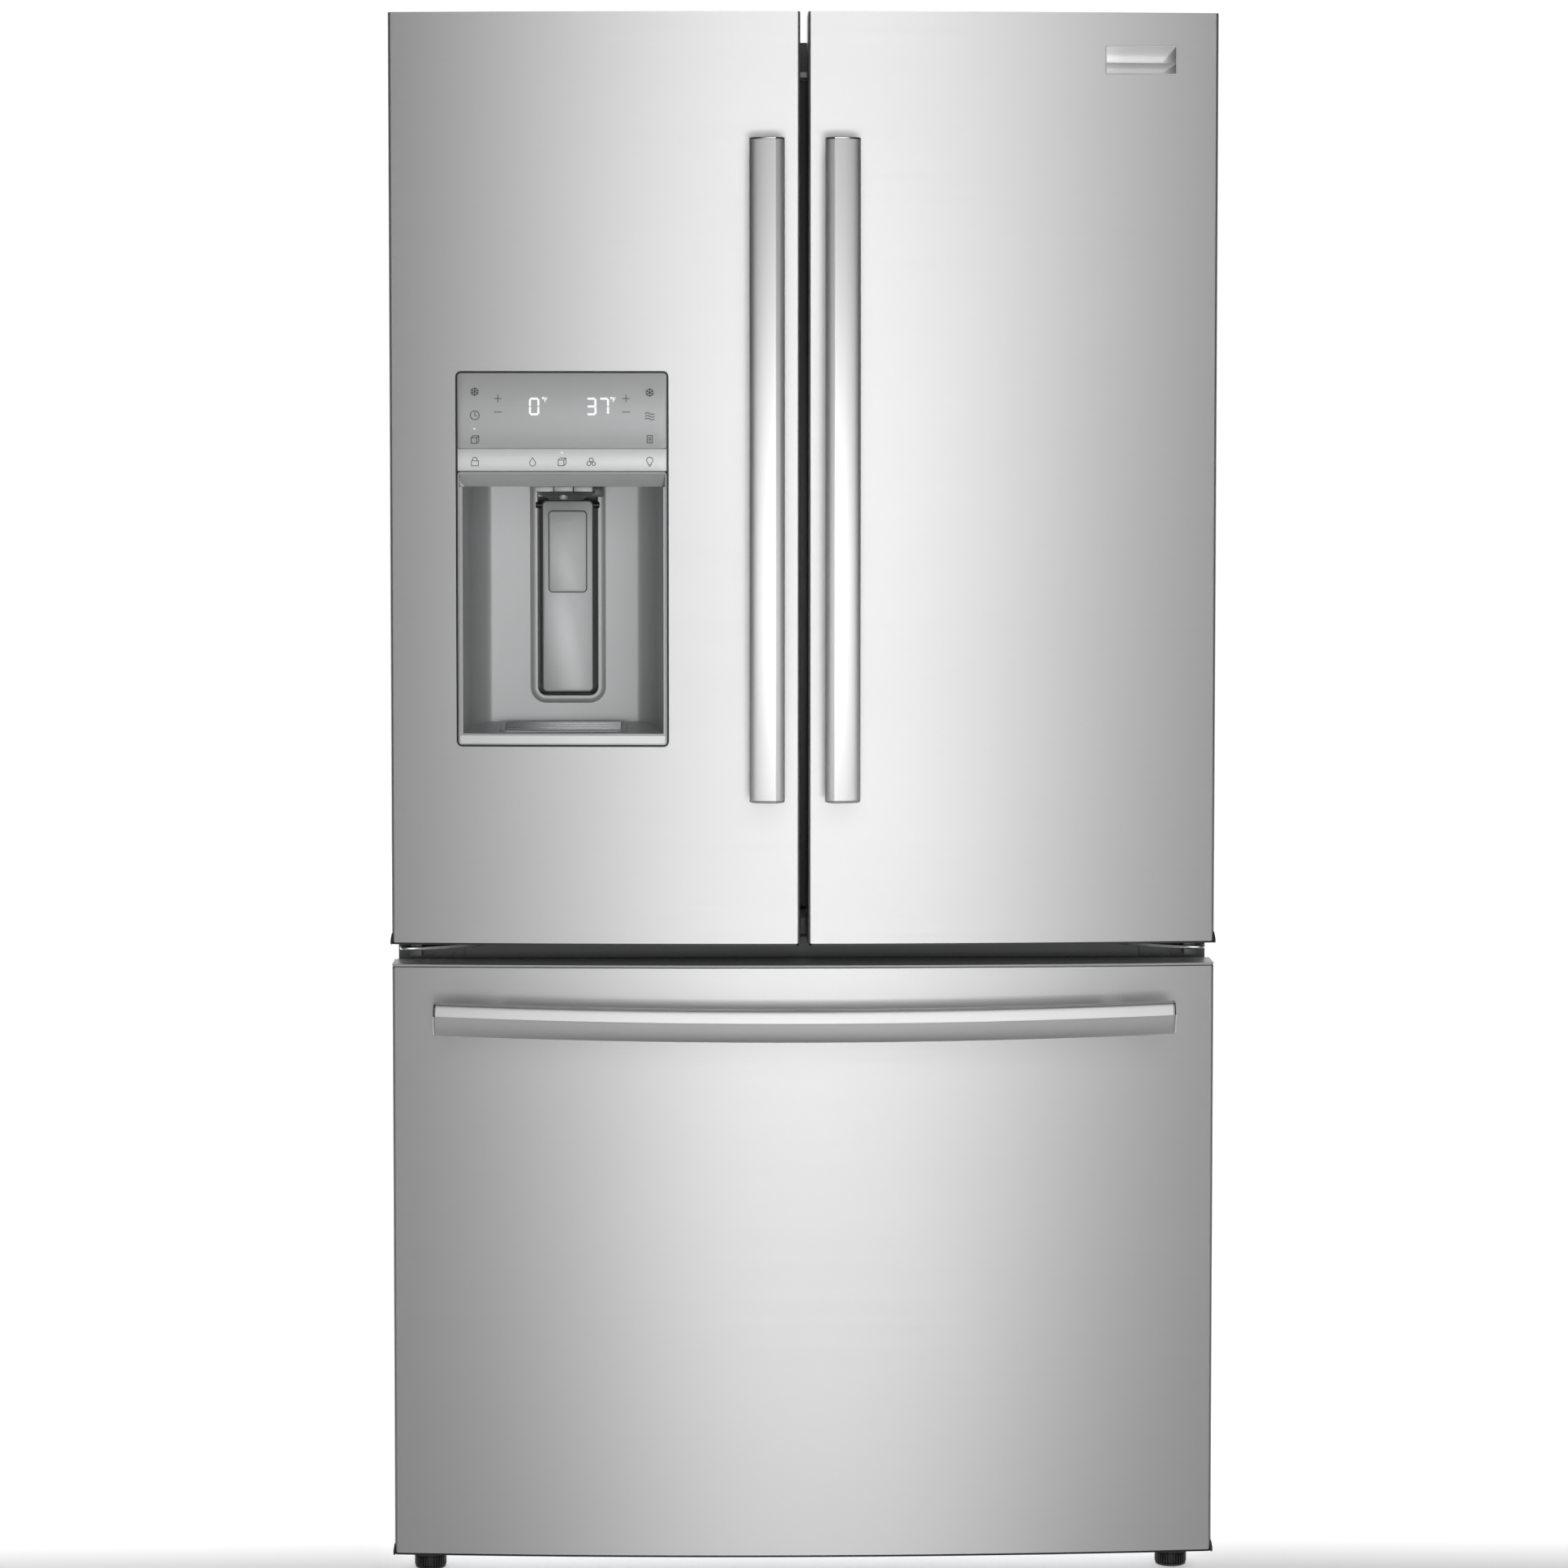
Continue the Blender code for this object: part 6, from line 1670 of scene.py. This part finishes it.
def makeBase():
    x, y, r = footShape["x"], footShape["y"], footShape["radius"]
    for side, label in ((-1, "left"), (1, "right")):
        a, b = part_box("levelling_foot_" + label)
        bm = bmesh.new()
        addTurned(bm, [(0.0, a[2]), (r - 0.0030, a[2]), (r - 0.0012, a[2] + 0.0010),
                       (r - 0.0012, a[2] + 0.0030),
                       (r - 0.0026, a[2] + 0.0040), (r - 0.0026, a[2] + 0.0140), (r - 0.0012, a[2] + 0.0150),
                       (r - 0.0012, a[2] + 0.0170), (r - 0.0040, a[2] + 0.0190), (0.0055, a[2] + 0.0195),
                       (0.0050, a[2] + 0.0205), (0.0050, b[2]), (0.0, b[2])], (side * x, y, 0.0), "Z", 40)
        body = label + "_foot"
        settle("foot_core_" + label, bm, "black", body, ("levelling_foot_" + label,))
        knurl = bmesh.new()
        addBox(knurl, (-0.0012, -0.00085, a[2] + 0.0036), (0.0012, 0.00085, a[2] + 0.0144), 0.0005, 2)
        grow("foot_knurls_" + label, "ring", knurl, "black", body, "black_plastic",
             Count=footShape["knurls"],
             Radius=r - 0.0018, Centre=(side * x, y, 0.0))

        node = "rear_roller_" + label
        a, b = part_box(node)
        cy, cz, radius = (a[1] + b[1]) / 2, (a[2] + b[2]) / 2, (b[2] - a[2]) / 2
        bm = bmesh.new()
        addTurned(bm, [(0.0040, a[0]), (radius * 0.55, a[0]), (radius * 0.60, a[0] + 0.0012),
                       (radius * 0.78, a[0] + 0.0012), (radius * 0.82, a[0]), (radius - 0.0014, a[0]),
                       (radius, a[0] + 0.0014), (radius, b[0] - 0.0014), (radius - 0.0014, b[0]),
                       (radius * 0.82, b[0]), (radius * 0.78, b[0] - 0.0012), (radius * 0.60, b[0] - 0.0012),
                       (radius * 0.55, b[0]), (0.0040, b[0])], (0.0, cy, cz), "X", 40)
        settle(node + "_wheel", bm, "black", label + "_roller", (node,))
    slot = bmesh.new()
    addBox(slot, (-0.034, -0.0010, -0.0012), (0.034, 0.0010, 0.0012), 0.0008, 2)
    bm = bmesh.new()
    addBox(bm, (-0.385, -0.2580, 0.0245), (0.385, -0.2520, 0.0352), 0.0016, 2)
    settle("toe_grille", bm, "greyPlastic", "cabinet")
    # Black bars on the grille stand in for its slots: painted shade of the openings
    grow("toe_grille_slots", "spots", slot, "black", "cabinet", "black_plastic",
         spots=[(-0.33 + 0.0825 * i, -0.2582, z) for i in range(9) for z in (0.0275, 0.0320)])
    print("base made")


# Back

rearShape = {"screwRadius": 0.0040, "beads": (0.420, 0.560, 1.180, 1.320, 1.460, 1.600), "beadHalf": 0.330,
             "border": (-0.425, 0.425, 0.325, 1.690), "cover": (0.120, 0.320, 0.700, 0.960)}


def makeBack():
    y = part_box("back_panel")[1][1]
    bm = bmesh.new()
    half = rearShape["beadHalf"]
    for z in rearShape["beads"]:
        rings = []
        for inset, depth in ((0.0, y - 0.0002), (0.0030, y + 0.0012), (0.0062, y + 0.0022)):
            outline = roundedRectangle(inset - half, half - inset, z - 0.011 + inset, z + 0.011 - inset,
                                       0.0105 - inset, 6)
            rings.append([(u, depth, v) for u, v in outline])
        bead = bmesh.new()
        joinRings(bead, rings)
        copyInto(bm, bead)
    addRing(bm, *rearShape["border"], 0.012, [(0.0, y - 0.0002), (0.0014, y + 0.0010), (0.0050, y + 0.0010),
                                             (0.0064, y - 0.0002)], 6)
    settle("back_panel_beads", bm, "rearSteel", "cabinet")
    bm = bmesh.new()
    rings = []
    x0, x1, z0, z1 = rearShape["cover"]
    for inset, depth in ((0.0, y - 0.0002), (0.0006, y + 0.0016), (0.0016, y + 0.0020)):
        outline = roundedRectangle(x0 + inset, x1 - inset, z0 + inset, z1 - inset, 0.008, 6)
        rings.append([(u, depth, v) for u, v in outline])
    joinRings(bm, rings)
    settle("service_cover", bm, "rearSteel", "cabinet")
    spots = [(side * 0.438, y, 0.330 + 0.170 * i) for side in (-1, 1) for i in range(9)]
    spots += [(-0.360 + 0.120 * i, y, 1.702) for i in range(7)]
    spots += [(x, y + 0.0016, z) for x in (x0 + 0.010, x1 - 0.010) for z in (z0 + 0.012, z1 - 0.012)]
    grow("back_panel_screws", "spots", hexScrew(rearShape["screwRadius"], 0.0032, "Y", 1), "zinc", "cabinet",
         "zinc_steel", spots=spots)

    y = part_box("machine_cover")[1][1]
    lip = bmesh.new()
    outline = [(y - 0.0002, 0.0042), (y + 0.0040, 0.0022), (y + 0.0052, -0.0006), (y + 0.0044, -0.0010),
               (y + 0.0030, 0.0012), (y - 0.0002, 0.0030)]
    addPrism(lip, outline, -0.0600, 0.0600, "X")
    spots = [(-0.36 + 0.20 * column, 0.0, 0.098 + 0.020 * row) for column in range(4) for row in range(8)]
    grow("machine_cover_louvres", "spots", lip, "rearSteel", "cabinet", "zinc_steel", spots=spots)
    spots = [(-0.430 + 0.1433 * i, y, z) for i in range(7) for z in (0.0580, 0.2880)]
    grow("machine_cover_screws", "spots", hexScrew(rearShape["screwRadius"], 0.0032, "Y", 1), "zinc",
         "cabinet",
         "zinc_steel", spots=spots)
    bm = bmesh.new()
    addTurned(bm, [(0.0070, y - 0.0004), (0.0150, y - 0.0004), (0.0150, y + 0.0024), (0.0130, y + 0.0034),
                   (0.0120, y + 0.0034), (0.0112, y + 0.0060), (0.0082, y + 0.0064), (0.0070, y + 0.0056),
                   (0.0070, y - 0.0004)], (0.405, 0.0, 0.075), "Y", 32)
    settle("cord_gland_collar", bm, "black", "cabinet")
    print("back made")


compressorMid = (0.270, 0.310)


def makeMachinery():
    cx, cy = compressorMid
    bm = bmesh.new()
    addTurned(bm, [(0.0820, 0.1200), (0.0872, 0.1210), (0.0880, 0.1235), (0.0880, 0.1265), (0.0872, 0.1290),
                   (0.0820, 0.1300), (0.0820, 0.1200)], (cx, cy, 0.0), "Z", 64)
    settle("compressor_seam", bm, "can", "cabinet")
    bm = bmesh.new()
    addBox(bm, (cx - 0.022, cy + 0.076, 0.130), (cx + 0.022, cy + 0.0985, 0.190), 0.004, 3)
    settle("compressor_terminal_cover", bm, "black", "cabinet")
    bm = bmesh.new()
    path = smoothed([(cx - 0.070, cy - 0.030, 0.150), (cx - 0.096, cy - 0.040, 0.156),
                     (cx - 0.104, cy - 0.052, 0.180),
                     (cx - 0.104, cy - 0.056, 0.250), (cx - 0.104, cy - 0.060, 0.285)], 6)
    addTube(bm, path, 0.0042, 12)
    path = smoothed([(cx - 0.060, cy + 0.048, 0.110), (cx - 0.088, cy + 0.060, 0.108),
                     (cx - 0.112, cy + 0.066, 0.104),
                     (cx - 0.128, cy + 0.060, 0.084), (cx - 0.140, cy + 0.050, 0.066)], 6)
    addTube(bm, path, 0.0034, 12)
    settle("compressor_pipes", bm, "copper", "cabinet")
    fin = bmesh.new()
    addBox(fin, (-0.0005, 0.0, -0.0170), (0.0005, 0.150, 0.0170))
    grow("condenser_side_plates", "row", fin, "zinc", "cabinet", "zinc_steel", Count=2,
         First=(-0.365, 0.228, 0.092), Step=(0.28, 0.0, 0.0))
    print("machinery made")


dressFrame()
makeSkins()
makeEndCaps()
makeGaskets()
makeHandles()
makeBadge()
makeGapGuide()
makeRecess()
makeHood()
makePanel()
makeMarks()
makePaddle()
makeDripTray()
makeHinges()
makeShelves()
makeInnerDrawers()
makeFoodDetails()
makeDoorBins()
makeFreezer()
makeBase()
makeBack()
makeMachinery()


# Stage, light and camera

stageShape = {"pale": (0.93, 0.93, 0.93), "size": 16.0, "glow": 1.0, "glowEdge": -0.20, "glowWidth": 0.5,
              "around": 0.03, "backdrop": 1.02, "brightenFrom": 0.25, "brightenTo": 0.9}


def makeStage():
    # The paper behind the object is a little luminous, as a lit studio sweep is
    paper = Finish("stagePaper", stageShape["pale"], 0.9)
    depth = paper.node("ShaderNodeSeparateXYZ", {}, {"Vector": paper.place}, "Y")
    away = depth.over(stageShape["glowEdge"], stageShape["glowWidth"])
    grain = paper.noise((260.0, 260.0, 260.0), detail=2.0)
    plug(paper.tree, paper.shader.inputs["Emission Color"], paper.blend(away, (0.0, 0.0, 0.0),
                                                                        (1.0, 1.0, 1.0)))
    paper.shader.inputs["Emission Strength"].default_value = stageShape["glow"]
    paper.colour(paper.blend(grain, shade(stageShape["pale"], 0.985), stageShape["pale"]))
    bm = bmesh.new()
    half = stageShape["size"] / 2
    addBox(bm, (-half, -half, -0.02), (half, half, 0.0))
    mesh = bpy.data.meshes.new("stageFloor")
    bm.to_mesh(mesh)
    bm.free()
    mesh.materials.append(paper.material)
    floor = bpy.data.objects.new("stageFloor", mesh)
    scene.collection.objects.link(floor)


lights = {
    "frontWide": {"place": (0.32, -7.2, 2.5), "aim": (0.32, 0.0, 2.5), "size": (4.8, 4.6), "power": 54.0},
    "frontLow": {"place": (0.08, -7.2, 0.70), "aim": (0.08, 0.0, 0.7), "size": (1.6, 1.3), "power": 50.0},
    "frontFoot": {"place": (0.45, -7.2, 0.36), "aim": (0.45, 0.0, 0.36), "size": (1.4, 0.64), "power": 26.0},
    "frontHigh": {"place": (0.45, -5.4, 4.4), "aim": (0.1, -0.3, 1.2), "size": (3.0, 1.6), "power": 20.0},
    "topWash": {"place": (0.0, 0.6, 4.6), "aim": (0.0, 0.4, 0.0), "size": (4.0, 3.2), "power": 18.0},
    "backWash": {"place": (0.0, 4.5, 3.4), "aim": (0.0, 0.6, 0.8), "size": (3.6, 2.4), "power": 20.0},
}


def aimed(place, aim):
    return (Vector(aim) - Vector(place)).to_track_quat("-Z", "Y").to_euler()


def makeLights():
    for name, values in lights.items():
        data = bpy.data.lights.new(name, "AREA")
        data.shape = "RECTANGLE"
        data.size, data.size_y = values["size"]
        data.energy = values["power"]
        lamp = bpy.data.objects.new(name, data)
        lamp.location = values["place"]
        lamp.rotation_euler = aimed(values["place"], values["aim"])
        lamp.visible_camera = False
        scene.collection.objects.link(lamp)
    world = bpy.data.worlds.new("studioWorld")
    world.use_nodes = True
    tree = world.node_tree
    around = tree.nodes.new("ShaderNodeTexCoord")
    split = tree.nodes.new("ShaderNodeSeparateXYZ")
    tree.links.new(around.outputs["Generated"], split.inputs["Vector"])
    ramp = tree.nodes.new("ShaderNodeMapRange")
    ramp.interpolation_type = "SMOOTHSTEP"
    tree.links.new(split.outputs["Y"], ramp.inputs["Value"])
    for socketName, value in (("From Min", "brightenFrom"), ("From Max", "brightenTo"), ("To Min", "around"),
                              ("To Max", "backdrop")):
        ramp.inputs[socketName].default_value = stageShape[value]
    seen = tree.nodes.new("ShaderNodeLightPath")  # the backdrop itself is even white from every side
    pick = tree.nodes.new("ShaderNodeMix")
    tree.links.new(seen.outputs["Is Camera Ray"], pick.inputs[0])
    tree.links.new(ramp.outputs["Result"], pick.inputs[2])
    pick.inputs[3].default_value = stageShape["backdrop"]
    tree.links.new(pick.outputs[0], tree.nodes["Background"].inputs["Strength"])
    tree.nodes["Background"].inputs["Color"].default_value = (1.0, 1.0, 1.0, 1.0)
    scene.world = world


cameraShape = {"place": (-0.1149, -5.5, 1.3363), "tilt": 0.0578, "pan": -0.0175, "lens": 108.09,
               "shift": (0.0018, -0.080)}


def makeCamera():
    data = bpy.data.cameras.new("photoCamera")
    data.lens = cameraShape["lens"]
    data.sensor_width = 36.0
    data.shift_x, data.shift_y = cameraShape["shift"]
    camera = bpy.data.objects.new("photoCamera", data)
    camera.location = cameraShape["place"]
    camera.rotation_euler = (math.pi / 2 - cameraShape["tilt"], 0.0, cameraShape["pan"])
    scene.collection.objects.link(camera)
    scene.camera = camera


makeStage()
makeLights()
makeCamera()
scene.view_settings.view_transform = "Standard"
